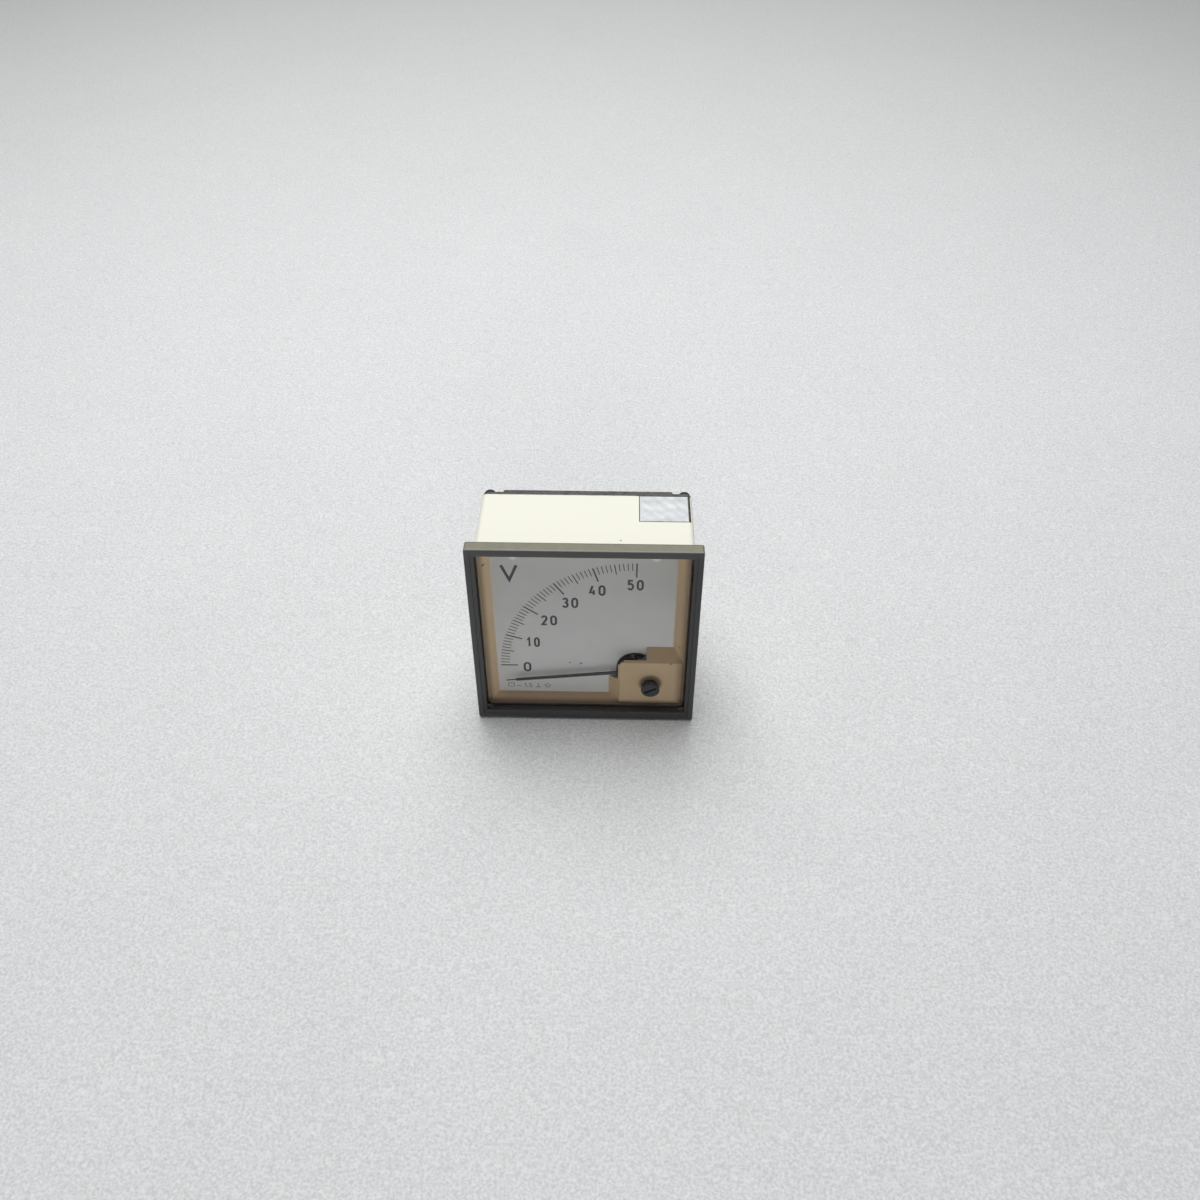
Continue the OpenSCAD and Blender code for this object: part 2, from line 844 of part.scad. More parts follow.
// Moulded back cover: flange, hollow raised back, posts and locating ribs
module back_cover() {
  flange_half = case_half - flange_inset;
  seat()
    color([0.12, 0.12, 0.13])
      difference() {
        union() {
          difference() {
            union() {
              slab(cover_y, flange_back)
                square_outline(flange_half, case_corner);
              slab(flange_back - e, back_y)
                square_outline(back_half, back_corner);
            }
            slab(cover_y - e, back_in)
              square_outline(back_half - back_wall, 0.6);
          }
          at_points(stalks)
            rod(stalk_r, carrier_back, back_in + e);
          at_terminals()
            rod(washer_r + 0.5, stud_head_y, back_in + e);
          each_side()
            for (x = [-14, 14])
              box([x - 6, cover_y - 2.6, case_in - 1.5], [x + 6, cover_y + e, case_in - stand]);
          translate([plus_x, back_y - e, terminal_up + 11]) {
            box([-2, 0, -0.4], [2, 0.4 + e, 0.4]);
            box([-0.4, 0, -2], [0.4, 0.4 + e, 2]);
          }
          translate([minus_x, back_y - e, terminal_up + 11])
            box([-2, 0, -0.4], [2, 0.4 + e, 0.4]);
        }
        at_corners()
          rod(fix_r + 0.2, cover_y - e, flange_back + e);
        at_points(stalks)
          rod(fix_r + hole_gap, carrier_back - e, carrier_back + 6);
        at_terminals() {
          rod(stud_core + stud_gap, back_in - e, back_y + e);
          translate([0, stud_head_y - 1, 0])
            rotate([-90, 0, 0])
              cylinder(r = nut_flats / sqrt(3) + 0.1, h = stud_head_t + 1, $fn = 6);
        }
      }
}

module cover_screws() {
  seat()
    color([0.1, 0.1, 0.1])
      at_corners()
        mirror([0, 1, 0])
          screw(head_r, head_h, fix_r, flange_t + 7, -flange_back);
}

// Threaded stud with a hexagon head inside the back and a rivet shank for its tag
module terminal_stud(x) {
  translate([x, 0, terminal_up]) {
    rod(tag_hole_r - hole_gap, tag_y - 0.3, stud_head_y + e);
    translate([0, stud_head_y, 0])
      rotate([-90, 0, 0])
        cylinder(r = nut_flats / sqrt(3), h = stud_head_t, $fn = 6);
    rod(stud_core, back_in - e, stack_back + e);
    rod(stud_r, stack_back, stud_end - 0.4);
    translate([0, stud_end - 0.4 - e, 0])
      rotate([-90, 0, 0])
        cylinder(r1 = stud_r, r2 = stud_r - 0.4, h = 0.4 + e);
  }
}

module terminal_stud_plus() {
  seat()
    color("gold")
      terminal_stud(plus_x);
}

module terminal_stud_minus() {
  seat()
    color("gold")
      terminal_stud(minus_x);
}

module base_washers() {
  seat()
    color("gainsboro")
      at_terminals()
        washer(washer_r, stud_r + washer_gap, base_washer_y, base_nut_y);
}

module base_nuts() {
  seat()
    color("gold")
      at_terminals()
        nut(nut_flats, stud_core + stud_gap, base_nut_y, flat_washer_y);
}

module terminal_washers() {
  seat()
    color("gainsboro")
      at_terminals()
        washer(washer_r, stud_r + washer_gap, flat_washer_y, spring_washer_y);
}

// Split spring washers
module spring_washers() {
  seat()
    color("gray")
      at_terminals()
        difference() {
          washer(nut_flats / 2, stud_r + washer_gap, spring_washer_y, top_nut_y);
          translate([0, spring_washer_y - e, 0])
            rotate([0, 20, 0])
              box([0, 0, -0.25], [nut_flats, spring_t + 2 * e, 0.25]);
        }
}

module terminal_nuts() {
  seat()
    color("gold")
      at_terminals()
        nut(nut_flats, stud_core + stud_gap, top_nut_y, stack_back);
}

// Flat tags riveted to the inner ends of the studs
module solder_tags() {
  seat()
    color("silver")
      at_terminals()
        difference() {
          slab(tag_y, stud_head_y)
            hull() {
              circle(3);
              translate([0, 7])
                circle(1.4);
            }
          rod(tag_hole_r, tag_y - e, stud_head_y + e);
          translate([0, 0, 7])
            rod(0.7, tag_y - e, stud_head_y + e);
        }
}

module circuit_board() {
  seat()
    color("darkgoldenrod")
      difference() {
        box([board_x[0], board_y, board_z[0]], [board_x[1], board_back, board_z[1]]);
        at_points(board_holes)
          rod(fix_r + hole_gap, board_y - e, board_back + e);
        for (z = resistor_z, s = [-1, 1])
          translate([resistor_x + s * (resistor_l / 2 + 1.4), 0, z])
            rod(0.4, board_y - e, board_back + e);
      }
}

module board_spacers() {
  seat()
    color("white")
      at_points(board_holes)
        washer(1.8, fix_r + hole_gap, carrier_back, board_y);
}

module board_screws() {
  seat()
    color("silver")
      at_points(board_holes)
        mirror([0, 1, 0])
          screw(1.5, 0.9, fix_r, board_t + 2 + carrier_t, -board_back);
}

// Two film resistors with waisted bodies and bent leads
module series_resistors() {
  lead = resistor_l / 2 + 1.4;
  y = board_back + resistor_r + stand;
  seat() {
    color("lightblue")
      for (z = resistor_z)
        translate([resistor_x, y, z])
          rotate([0, 90, 0]) {
            cylinder(r = resistor_r * 0.8, h = resistor_l, center = true);
            for (s = [-1, 1])
              translate([0, 0, s * (resistor_l / 2 - 0.8)])
                cylinder(r = resistor_r, h = 1.6, center = true);
          }
    color("silver")
      for (z = resistor_z, s = [-1, 1]) {
        translate([resistor_x + s * resistor_l / 2, y, z])
          rotate([0, s * 90, 0])
            cylinder(r = 0.3, h = 1.4, $fn = 24);
        translate([resistor_x + s * lead, y, z]) {
          sphere(r = 0.3, $fn = 24);
          rod(0.3, board_y - y - 0.5, 0);
        }
      }
  }
}

module lead_plus() {
  tag = [plus_x, tag_y, terminal_up + 7];
  end = [board_x[1] - 2, board_back, board_z[0] + 3];
  seat()
    color("red")
      wire([
        tag - [0, wire_r, 0],
        tag + [0, -3, 3],
        [end[0] + 5, end[1] + 5, end[2] + 2],
        end + [0, 2.5, 0],
        end
      ], wire_r);
}

module lead_minus() {
  tag = [minus_x, tag_y, terminal_up + 7];
  end = [board_x[0] + 6, board_back, board_z[0] + 3];
  seat()
    color("royalblue")
      wire([
        tag - [0, wire_r, 0],
        tag + [-1, -3, 2.5],
        [end[0] + 2, end[1] + 5, end[2] + 2],
        end + [0, 2.5, 0],
        end
      ], wire_r);
}

// Soft-iron ring with two ears
module yoke_ring() {
  seat()
    color("slategray")
      difference() {
        union() {
          at_pivot()
            rod(yoke_out_r, magnet_y, magnet_back);
          for (a = ears)
            out(a, ear_reach)
              rod(ear_r, magnet_back - ear_t, magnet_back);
        }
        at_pivot()
          rod(yoke_in_r, magnet_y - e, magnet_back + e);
        for (a = ears)
          out(a, ear_reach)
            rod(fix_r + hole_gap, magnet_back - ear_t - e, magnet_back + e);
      }
}

module yoke_screws() {
  seat()
    color("silver")
      for (a = ears)
        out(a, ear_reach)
          screw(1.5, 0.9, fix_r, ear_t + carrier_t + 1, magnet_back - ear_t);
}

module core_magnet() {
  seat()
    color("darkgray")
      at_pivot()
        rod(magnet_r, magnet_y, magnet_back);
}

// A ring sector round the pivot
module sector(r_in, r_out, half_angle, y0, y1) {
  intersection() {
    washer(r_out, r_in, y0, y1);
    slab(y0, y1)
      polygon([
        [0, 0],
        [2 * r_out, -2 * r_out * tan(half_angle)],
        [2 * r_out, 2 * r_out * tan(half_angle)]
      ]);
  }
}

// Cast ribs that hold the magnet in the ring and carry both bridges
module core_holder() {
  seat()
    color("lightslategray")
      for (a = [post_angle, post_angle + 180])
        at_pivot()
          turn(a)
            difference() {
              union() {
                sector(rib_in, rib_out, rib_angle, magnet_y - e, magnet_back + e);
                sector(lug_in, rib_out, rib_angle, coil_y - 0.6, magnet_y - 0.1);
                sector(lug_in, rib_out, rib_angle, magnet_back + 0.1, coil_back + 0.8);
                sector(rib_in, rib_out, rib_angle, magnet_y - 0.2, magnet_y + e);
                sector(rib_in, rib_out, rib_angle, magnet_back - e, magnet_back + 0.2);
                translate([post_r, 0, 0])
                  rod(post_rod_r, bridge_back, coil_y);
                translate([post_r, 0, 0])
                  rod(post_rod_r, coil_back, rear_bridge_y);
              }
              translate([post_r, 0, 0])
                rod(0.5 + hole_gap, bridge_back - e, bridge_back + 2.2);
              translate([post_r, 0, 0])
                rod(0.5 + hole_gap, rear_bridge_y - 1.6, rear_bridge_y + e);
            }
}

// Flat outline of a bridge: a strip with round ends and a round middle
module bridge_outline() {
  rotate(post_angle)
    union() {
      translate([-post_r, -1.1])
        square([2 * post_r, 2.2]);
      circle(2.2);
      for (s = [-1, 1])
        translate([s * post_r, 0])
          circle(1.3);
    }
}

// Flat tab from the strip to a stop
module stop_tab(angle, toward) {
  steps = 6;
  inner = crank_in - 0.1;
  outer = crank_out + 0.1;
  polygon(concat(
    [for (i = [0 : steps]) outer * polar(angle + (toward - angle) * i / steps)],
    [for (i = [steps : -1 : 0]) inner * polar(angle + (toward - angle) * i / steps)]
  ));
}

function polar(angle) = [cos(angle), sin(angle)];

// Front bridge with a threaded boss and the two pointer stops
module front_bridge() {
  half_tab = stop_w / 2 / crank_in * 180 / PI;
  low_stop = rest_angle + stop_turn;
  high_stop = top_angle - stop_turn;
  seat()
    color("goldenrod")
      difference() {
        union() {
          translate([pivot_x, 0, pivot_z])
            slab(bridge_y, bridge_back)
              union() {
                bridge_outline();
                stop_tab(low_stop - half_tab * 0.8, post_angle + 180);
                stop_tab(high_stop + half_tab * 0.8, post_angle);
              }
          for (a = [low_stop, high_stop])
            at_pivot()
              turn(a)
                box(
                  [crank_in - 0.05, pointer_back + 0.2, -stop_w / 2],
                  [crank_out + 0.05, bridge_back, stop_w / 2]
                );
        }
        at_pivot()
          rod(jewel_hole_r, bridge_y - e, bridge_back + e);
        for (a = [post_angle, post_angle + 180])
          out(a, post_r)
            rod(0.5 + hole_gap, bridge_y - e, bridge_back + e);
      }
}

// Rear bridge with the fixed lug of the rear hairspring
module rear_bridge() {
  seat()
    color("goldenrod")
      difference() {
        union() {
          translate([pivot_x, 0, pivot_z])
            slab(rear_bridge_y, rear_bridge_back)
              bridge_outline();
          at_pivot()
            turn(post_angle)
              box(
                [stud_in, rear_spring_y - 0.1, -0.3],
                [stud_out, rear_bridge_y + e, 0.3]
              );
        }
        at_pivot()
          rod(jewel_hole_r, rear_bridge_y - e, rear_bridge_back + e);
        for (a = [post_angle, post_angle + 180])
          out(a, post_r)
            rod(0.5 + hole_gap, rear_bridge_y - e, rear_bridge_back + e);
      }
}

module bridge_screws() {
  seat()
    color("silver")
      for (a = [post_angle, post_angle + 180])
        out(a, post_r) {
          screw(0.95, 0.6, 0.5, bridge_t + 2, bridge_y);
          mirror([0, 1, 0])
            screw(0.95, 0.6, 0.5, bridge_t + 1.4, -rear_bridge_back);
        }
}

// Slotted screw with a cup for the pivot tip at its far end
module front_jewel_screw() {
  seat()
    color("gold")
      at_pivot()
        difference() {
          rod(jewel_r, jewel_front, jewel_back);
          rod(tip_r + run_gap, jewel_back - jewel_bore, jewel_back + e);
          box([-2, jewel_front - e, -0.2], [2, jewel_front + 0.5, 0.2]);
        }
}

module rear_jewel_screw() {
  seat()
    color("gold")
      at_pivot()
        difference() {
          rod(jewel_r, rear_jewel_y, rear_jewel_back);
          rod(tip_r + run_gap, rear_jewel_y - e, rear_jewel_y + jewel_bore);
          box([-2, rear_jewel_back - 0.5, -0.2], [2, rear_jewel_back + e, 0.2]);
        }
}

module jewel_nuts() {
  seat()
    color("gold")
      at_pivot() {
        nut(3.4, jewel_hole_r, front_nut_y, front_nut_y + nut_t);
        nut(3.4, jewel_hole_r, rear_nut_y - stand, rear_nut_y - stand + nut_t);
      }
}

// Flat spiral from the spindle out to its fixed end
module hairspring(end_angle, y0) {
  steps = 24 * hair_turns;
  at_pivot()
    slab(y0, y0 + spring_w)
      polygon(concat(
        [for (i = [0 : steps]) spiral(i / steps, hair_t / 2, end_angle)],
        [for (i = [steps : -1 : 0]) spiral(i / steps, -hair_t / 2, end_angle)]
      ));
}

// A point of the spiral; share runs from 0 at the spindle to 1 at the fixed end
function spiral(share, side, end_angle) =
  (hair_in + hair_t / 2 + (hair_out - hair_in - hair_t / 2) * share + side)
  * polar(end_angle - 360 * hair_turns * (1 - share));

module front_hairspring() {
  seat()
    color("peru")
      hairspring(lever_stud_angle, spring_y);
}

module rear_hairspring() {
  seat()
    color("peru")
      hairspring(post_angle, rear_spring_y);
}

// Rectangular frame of the coil, seen along the coil's flat side
module coil_frame(t_in, t_out) {
  at_pivot()
    turn(rest_angle)
      difference() {
        box(
          [-coil_half - t_out, magnet_y - end_gap - t_out, -coil_w / 2],
          [coil_half + t_out, magnet_back + end_gap + t_out, coil_w / 2]
        );
        box(
          [-coil_half - t_in, magnet_y - end_gap - t_in, -coil_w],
          [coil_half + t_in, magnet_back + end_gap + t_in, coil_w]
        );
      }
}

module coil_former() {
  seat()
    color("lightgray")
      coil_frame(0, former_t);
}

module coil_winding() {
  seat()
    color("chocolate")
      coil_frame(former_t, former_t + winding_t);
}

module front_spindle() {
  seat()
    color("silver")
      at_pivot() {
        rod(1.6, coil_y - spindle_base_t, coil_y);
        rod(spindle_r, jewel_back + 0.15, coil_y - spindle_base_t + e);
        rod(tip_r, jewel_back - jewel_bore + 0.15, jewel_back + 0.15 + e);
      }
}

module rear_spindle() {
  seat()
    color("silver")
      at_pivot() {
        rod(1.6, coil_back, coil_back + spindle_base_t);
        rod(spindle_r, coil_back + spindle_base_t - e, rear_jewel_y - 0.15);
        rod(tip_r, rear_jewel_y - 0.15 - e, rear_jewel_y + jewel_bore - 0.15);
      }
}

// Hub on the spindle with three arms for the balance weights
module pointer_hub() {
  seat()
    color([0.15, 0.15, 0.15])
      at_pivot()
        turn(rest_angle)
          difference() {
            union() {
              rod(1.5, hub_y, hub_y + hub_t);
              translate([0, hub_y + hub_t / 2, 0]) {
                rotate([0, -90, 0])
                  cylinder(r = arm_r, h = tail_reach + tail_l / 2 + 0.2);
                cylinder(r = arm_r, h = 10, center = true);
              }
            }
            rod(spindle_r, hub_y - e, hub_y + hub_t + e);
            box([1.1, arm_y - 0.02, -crank_w / 2], [1.6, arm_y + pointer_t + 0.02, crank_w / 2]);
          }
}

// Weights slid on to the three arms
module balance_weights() {
  seat()
    color("darkgoldenrod")
      at_pivot()
        turn(rest_angle)
          translate([0, hub_y + hub_t / 2, 0]) {
            weight([0, -90, 0], tail_reach, tail_r, tail_l);
            weight([0, 0, 0], 4, 0.6, 1.4);
            weight([180, 0, 0], 4, 0.6, 1.4);
          }
}

module weight(way, reach, r, length) {
  rotate(way)
    translate([0, 0, reach])
      difference() {
        cylinder(r = r, h = length, center = true);
        cylinder(r = arm_r + 0.01, h = length + 2 * e, center = true);
      }
}

// Bent pointer: an inner arm behind the dial, a crank through the eye and the long blade
module pointer() {
  seat()
    color([0.08, 0.08, 0.08])
      at_pivot()
        turn(rest_angle) {
          slab(pointer_y, pointer_back)
            polygon([
              [crank_in, -crank_w / 2], [crank_out, -crank_w / 2], [crank_out + 0.8, -pointer_w / 2],
              [pointer_l - needle_l - 0.8, -blade_w / 2], [pointer_l - needle_l, -tip_w / 2],
              [pointer_l - 0.3, -tip_w / 2], [pointer_l, 0], [pointer_l - 0.3, tip_w / 2],
              [pointer_l - needle_l, tip_w / 2], [pointer_l - needle_l - 0.8, blade_w / 2],
              [crank_out + 0.8, pointer_w / 2], [crank_out, crank_w / 2], [crank_in, crank_w / 2]
            ]);
          box([crank_in, pointer_back - e, -crank_w / 2], [crank_out, arm_y + pointer_t, crank_w / 2]);
          box([1.1, arm_y, -crank_w / 2 + 0.02], [crank_in + e, arm_y + pointer_t, crank_w / 2 - 0.02]);
        }
}

// Slotted adjuster in the window, with its eccentric pin
module zero_screw() {
  head_back = glass_depth - stand;
  head_y = head_back - adjuster_head;
  seat()
    color([0.1, 0.1, 0.11])
      difference() {
        union() {
          at_adjuster() {
            rod(adjuster_r, head_y + 0.2, head_back);
            translate([0, head_y, 0])
              rotate([-90, 0, 0])
                cylinder(r1 = adjuster_r - 0.25, r2 = adjuster_r, h = 0.2 + e);
            rod(shank_r, head_back - e, hood_back + 0.5);
          }
          out(adjuster_angle, adjuster_reach + eccentric)
            rod(pin_r, hood_back + 0.3, lever_y + lever_t + 0.1);
        }
        at_adjuster()
          turn(30)
            box([-2.2, head_y - e, -0.4], [2.2, head_y + 0.6, 0.4]);
      }
}

// Push-on ring that keeps the adjuster in the pane
module zero_clip() {
  seat()
    color("gray")
      at_adjuster()
        washer(shank_r + 0.7, shank_r, hood_back + stand, hood_back + 0.45);
}

// Lever round the front jewel screw, with a fork for the pin and a stud for the hairspring
module zero_lever() {
  reach = adjuster_reach + eccentric;
  fork_half = pin_r + fork_gap;
  seat()
    color("silver") {
      translate([pivot_x, 0, pivot_z])
        slab(lever_y, lever_y + lever_t)
          difference() {
            union() {
              circle(jewel_r + 1);
              rotate(adjuster_angle)
                translate([0, -1.3])
                  square([reach + pin_r + 0.5, 2.6]);
              rotate(lever_stud_angle)
                translate([0, -0.4])
                  square([stud_out, 0.8]);
            }
            circle(jewel_r + lever_gap);
            rotate(adjuster_angle)
              translate([reach - pin_r - 0.35, -fork_half])
                square([2 * pin_r + 2, 2 * fork_half]);
          }
      out(lever_stud_angle, stud_in)
        box([0, lever_y + lever_t - e, -0.3], [stud_out - stud_in - e, spring_y + spring_w, 0.3]);
    }
}

bezel_frame();
window_pane();
case_shell();
dial_mask();
dial_plate();
dial_screws();
dial_pillars();
carrier_plate();
carrier_screws();
back_cover();
cover_screws();
terminal_stud_plus();
terminal_stud_minus();
base_washers();
base_nuts();
terminal_washers();
spring_washers();
terminal_nuts();
solder_tags();
circuit_board();
board_spacers();
board_screws();
series_resistors();
lead_plus();
lead_minus();
yoke_ring();
yoke_screws();
core_magnet();
core_holder();
front_bridge();
rear_bridge();
bridge_screws();
front_jewel_screw();
rear_jewel_screw();
jewel_nuts();
rear_hairspring();
coil_former();
coil_winding();
front_spindle();
rear_spindle();
pointer_hub();
pointer();
balance_weights();
zero_screw();
zero_clip();
zero_lever();
front_hairspring();
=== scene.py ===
"""A square panel meter on a pale sheet: finishes, dial print, threads, a bare sticker, light and camera."""
import math
import bpy
import numpy as np
from mathutils import Matrix, Vector


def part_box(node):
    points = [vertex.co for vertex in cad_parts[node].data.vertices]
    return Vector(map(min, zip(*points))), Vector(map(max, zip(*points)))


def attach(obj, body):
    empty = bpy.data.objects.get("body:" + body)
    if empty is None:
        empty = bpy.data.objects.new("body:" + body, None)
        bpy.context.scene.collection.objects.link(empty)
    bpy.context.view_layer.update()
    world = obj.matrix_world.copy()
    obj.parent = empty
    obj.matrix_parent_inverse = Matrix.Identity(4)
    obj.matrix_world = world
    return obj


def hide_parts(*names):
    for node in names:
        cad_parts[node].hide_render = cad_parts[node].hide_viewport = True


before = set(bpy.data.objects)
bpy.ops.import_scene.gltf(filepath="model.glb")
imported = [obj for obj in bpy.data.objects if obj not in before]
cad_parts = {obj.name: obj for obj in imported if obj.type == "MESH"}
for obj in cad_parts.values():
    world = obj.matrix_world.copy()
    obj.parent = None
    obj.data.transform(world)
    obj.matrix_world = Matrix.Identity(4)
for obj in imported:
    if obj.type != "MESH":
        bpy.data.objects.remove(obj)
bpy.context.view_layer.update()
MM = 0.001

# ---------------------------------------------------------------- places

def mid(node):
    """The middle of a node's box, in metres."""
    low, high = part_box(node)
    return (Vector(low) + Vector(high)) / 2


FRAME_LOW, FRAME_HIGH = (Vector(c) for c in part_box("bezel_frame"))
CASE_LOW, CASE_HIGH = (Vector(c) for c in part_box("case_shell"))
DIAL_LOW, DIAL_HIGH = (Vector(c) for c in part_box("dial_plate"))
FRONT = FRAME_LOW.y
PIVOT = mid("core_magnet")
ADJUSTER = mid("zero_screw")
DIAL_FACE = DIAL_HIGH.y - 0.5 * MM
CASE_TOP = CASE_HIGH.z

# ---------------------------------------------------------------- shader maths


class Wire:
    """One shader socket. Its operators add Math nodes, so a mask reads as a formula."""

    def __init__(self, finish, socket):
        self.finish, self.socket = finish, socket

    def _math(self, operation, first, second=0.0):
        return self.finish.node("ShaderNodeMath", {"operation": operation}, {0: first, 1: second})[0]

    def __add__(self, other): return self._math("ADD", self, other)
    def __radd__(self, other): return self._math("ADD", other, self)
    def __sub__(self, other): return self._math("SUBTRACT", self, other)
    def __rsub__(self, other): return self._math("SUBTRACT", other, self)
    def __mul__(self, other): return self._math("MULTIPLY", self, other)
    def __rmul__(self, other): return self._math("MULTIPLY", other, self)
    def __truediv__(self, other): return self._math("DIVIDE", self, other)
    def __abs__(self): return self._math("ABSOLUTE", self)
    def __lt__(self, other): return self._math("LESS_THAN", self, other)

    def low(self, other): return self._math("MINIMUM", self, other)
    def high(self, other): return self._math("MAXIMUM", self, other)
    def root(self): return self._math("SQRT", self)

    def rise(self, start, end):
        """A smooth step: 0 at start, 1 at end; start may lie above end."""
        span = ((self - start) / (end - start)).high(0.0).low(1.0)
        return span * span * (3.0 - 2.0 * span)


class Finish:
    """One material: a Principled shader and the nodes that feed it."""

    def __init__(self, name, **constants):
        self.material = bpy.data.materials.new(name)
        self.material.use_nodes = True
        self.tree = self.material.node_tree
        self.tree.nodes.clear()
        self.shader = self.tree.nodes.new("ShaderNodeBsdfPrincipled")
        out = self.tree.nodes.new("ShaderNodeOutputMaterial")
        self.tree.links.new(self.shader.outputs[0], out.inputs[0])
        for socket, value in constants.items():
            self.shader.inputs[socket.replace("_", " ")].default_value = value
        self.place = self.node("ShaderNodeTexCoord")["Object"]
        axes = self.node("ShaderNodeSeparateXYZ", {}, {0: self.place})
        self.x, self.y, self.z = axes[0], axes[1], axes[2]

    def node(self, kind, settings=None, values=None):
        """Any node: its settings are set first, then each socket gets its value or link."""
        made = self.tree.nodes.new(kind)
        for key, value in (settings or {}).items():
            setattr(made, key, value)
        for key, value in (values or {}).items():
            if isinstance(value, Wire):
                self.tree.links.new(value.socket, made.inputs[key])
            elif value is not None:
                if made.inputs[key].type == "RGBA" and len(value) == 3:
                    value = (*value, 1.0)
                made.inputs[key].default_value = value
        return Outputs(self, made)

    def feed(self, socket, value):
        self.tree.links.new(value.socket, self.shader.inputs[socket])
        return self

    def stretched(self, x, y, z):
        """Object coordinates scaled differently along each axis."""
        return self.node("ShaderNodeMapping", {}, {0: self.place, 3: (x, y, z)})[0]

    def noise(self, size_mm, detail=3.0, rough=0.5, place=None):
        """Soft noise from 0 to 1 whose lumps are about size_mm across."""
        return self.node("ShaderNodeTexNoise", {},
                         {"Vector": place or self.place, "Scale": 1000.0 / size_mm,
                          "Detail": detail, "Roughness": rough})[0]

    def cells(self, size_mm):
        """Distance to the nearest of scattered points, in cells."""
        return self.node("ShaderNodeTexVoronoi", {}, {"Vector": self.place, "Scale": 1000.0 / size_mm})[0]

    def mix(self, share, first, second):
        """A colour between two colours."""
        return self.node("ShaderNodeMix", {"data_type": "RGBA"}, {0: share, 6: first, 7: second})[2]

    def spot(self, x, z, radius):
        """1 inside a soft round spot on a face that looks along Y; lengths in metres."""
        reach = ((self.x - x) * (self.x - x) + (self.z - z) * (self.z - z)).root()
        return reach.rise(radius, radius * 0.6)

    def up(self):
        """How far a face looks up, 0 to 1."""
        facing = self.node("ShaderNodeTexCoord")["Normal"]
        return self.node("ShaderNodeSeparateXYZ", {}, {0: facing})[2].high(0.0)

    def bump(self, height, depth_mm):
        """Relief: height 1 stands depth_mm proud."""
        values = {"Strength": 1.0, "Distance": depth_mm * MM, "Height": height}
        return self.feed("Normal", self.node("ShaderNodeBump", {}, values)[0])


class Outputs:
    """A made node, whose outputs are read by name or number."""

    def __init__(self, finish, made):
        self.finish, self.made = finish, made

    def __getitem__(self, key):
        return Wire(self.finish, self.made.outputs[key])


# ---------------------------------------------------------------- finishes


def moulded(name, colour, shade, roughness, grain=0.012, dust=0.0, dust_colour=(0.34, 0.33, 0.28)):
    """Moulded plastic: blotchy tint, fine grain, dull patches and dust on what looks up."""
    f = Finish(name, IOR=1.5)
    blotch = f.noise(9.0, 4.0, 0.6)
    speck = f.noise(0.5, 2.0)
    tint = f.mix((blotch - 0.35) * 1.6 + (speck - 0.5) * 0.25, colour, shade)
    if dust:
        settled = f.up() * f.noise(2.2, 5.0, 0.7).rise(0.3, 0.62) * dust
        tint = f.mix(settled.low(1.0), tint, dust_colour)
        f.feed("Roughness", (roughness + (blotch - 0.5) * 0.2 + settled * 0.35).low(1.0))
    else:
        f.feed("Roughness", roughness + (blotch - 0.5) * 0.2 + (speck - 0.5) * 0.08)
    f.feed("Base Color", tint)
    return f.bump(f.noise(0.22, 2.0) + f.noise(1.4, 2.0) * 0.5, grain)


def metal(name, colour, shade, roughness, lines=0.0, axis=1, grain=0.006):
    """Bare metal: tarnish in patches, fine scratches, and turning or brushing lines along one axis."""
    f = Finish(name, Metallic=1.0)
    tarnish = f.noise(2.5, 4.0, 0.65)
    pits = f.noise(0.3, 3.0, 0.7)
    stretch = [1.0, 1.0, 1.0]
    stretch[axis] = 0.04
    drawn = f.noise(0.12, 2.0, place=f.stretched(*stretch))
    f.feed("Base Color", f.mix(tarnish.rise(0.35, 0.75) * 0.8 + (pits - 0.5) * 0.3, colour, shade))
    f.feed("Roughness", (roughness + (tarnish - 0.5) * 0.25 + (pits - 0.5) * 0.15).high(0.08))
    return f.bump(drawn * lines + pits * (1.0 - lines), grain)


def frame_finish():
    """Dark satin frame: paler dusty top, a painted highlight along the top's front edge, grimy inner edge,
    painted shade on its right and low sides and painted light on its front near the top.
    """
    f = Finish("frame_black_satin", IOR=1.5)
    blotch, fine, speck = f.noise(7.0, 4.0, 0.6), f.noise(0.7, 3.0), f.noise(0.25, 2.0)
    top = f.up().rise(0.6, 0.95) * (f.z / MM).rise(70.9, 71.3)
    depth = (f.y - FRONT) / MM
    base = f.mix((blotch - 0.3) * 1.5, (0.060, 0.061, 0.065), (0.080, 0.080, 0.081))
    grime = depth.rise(0.5, 1.3) * (1.0 - top) * 0.7
    base = f.mix(grime, base, (0.050, 0.042, 0.036))
    dust = top * (0.62 + 0.5 * (f.noise(3.0, 5.0, 0.7) - 0.4))
    base = f.mix(dust.low(1.0), base, (0.315, 0.300, 0.212))
    # Painted highlight: the front edge of the top face is painted pale grey.
    edge = top * depth.rise(0.75, 0.15)
    base = f.mix(edge * 0.55, base, (0.52, 0.54, 0.55))
    dark = top * depth.rise(3.45, 3.9)
    base = f.mix(dark * 0.6, base, (0.10, 0.10, 0.09))
    # Painted shade: the frame's right and lower sides are painted darker.
    painted_shade_side = (f.x / MM).rise(22.0, 35.0).high((f.z / MM).rise(14.0, 2.0)) * (1.0 - top) * 0.45
    base = f.mix(painted_shade_side, base, (0.026, 0.026, 0.028))
    # Painted light: the front of the frame near its top is painted paler.
    painted_light_top = (f.z / MM).rise(66.0, 70.5) * (1.0 - top) * 0.35
    base = f.mix(painted_light_top, base, (0.105, 0.105, 0.098))
    f.feed("Base Color", base)
    f.feed("Roughness", (0.50 + (blotch - 0.5) * 0.2 + dust * 0.25 + (speck - 0.5) * 0.1).low(0.9))
    return f.bump(fine * 0.6 + speck, 0.012)


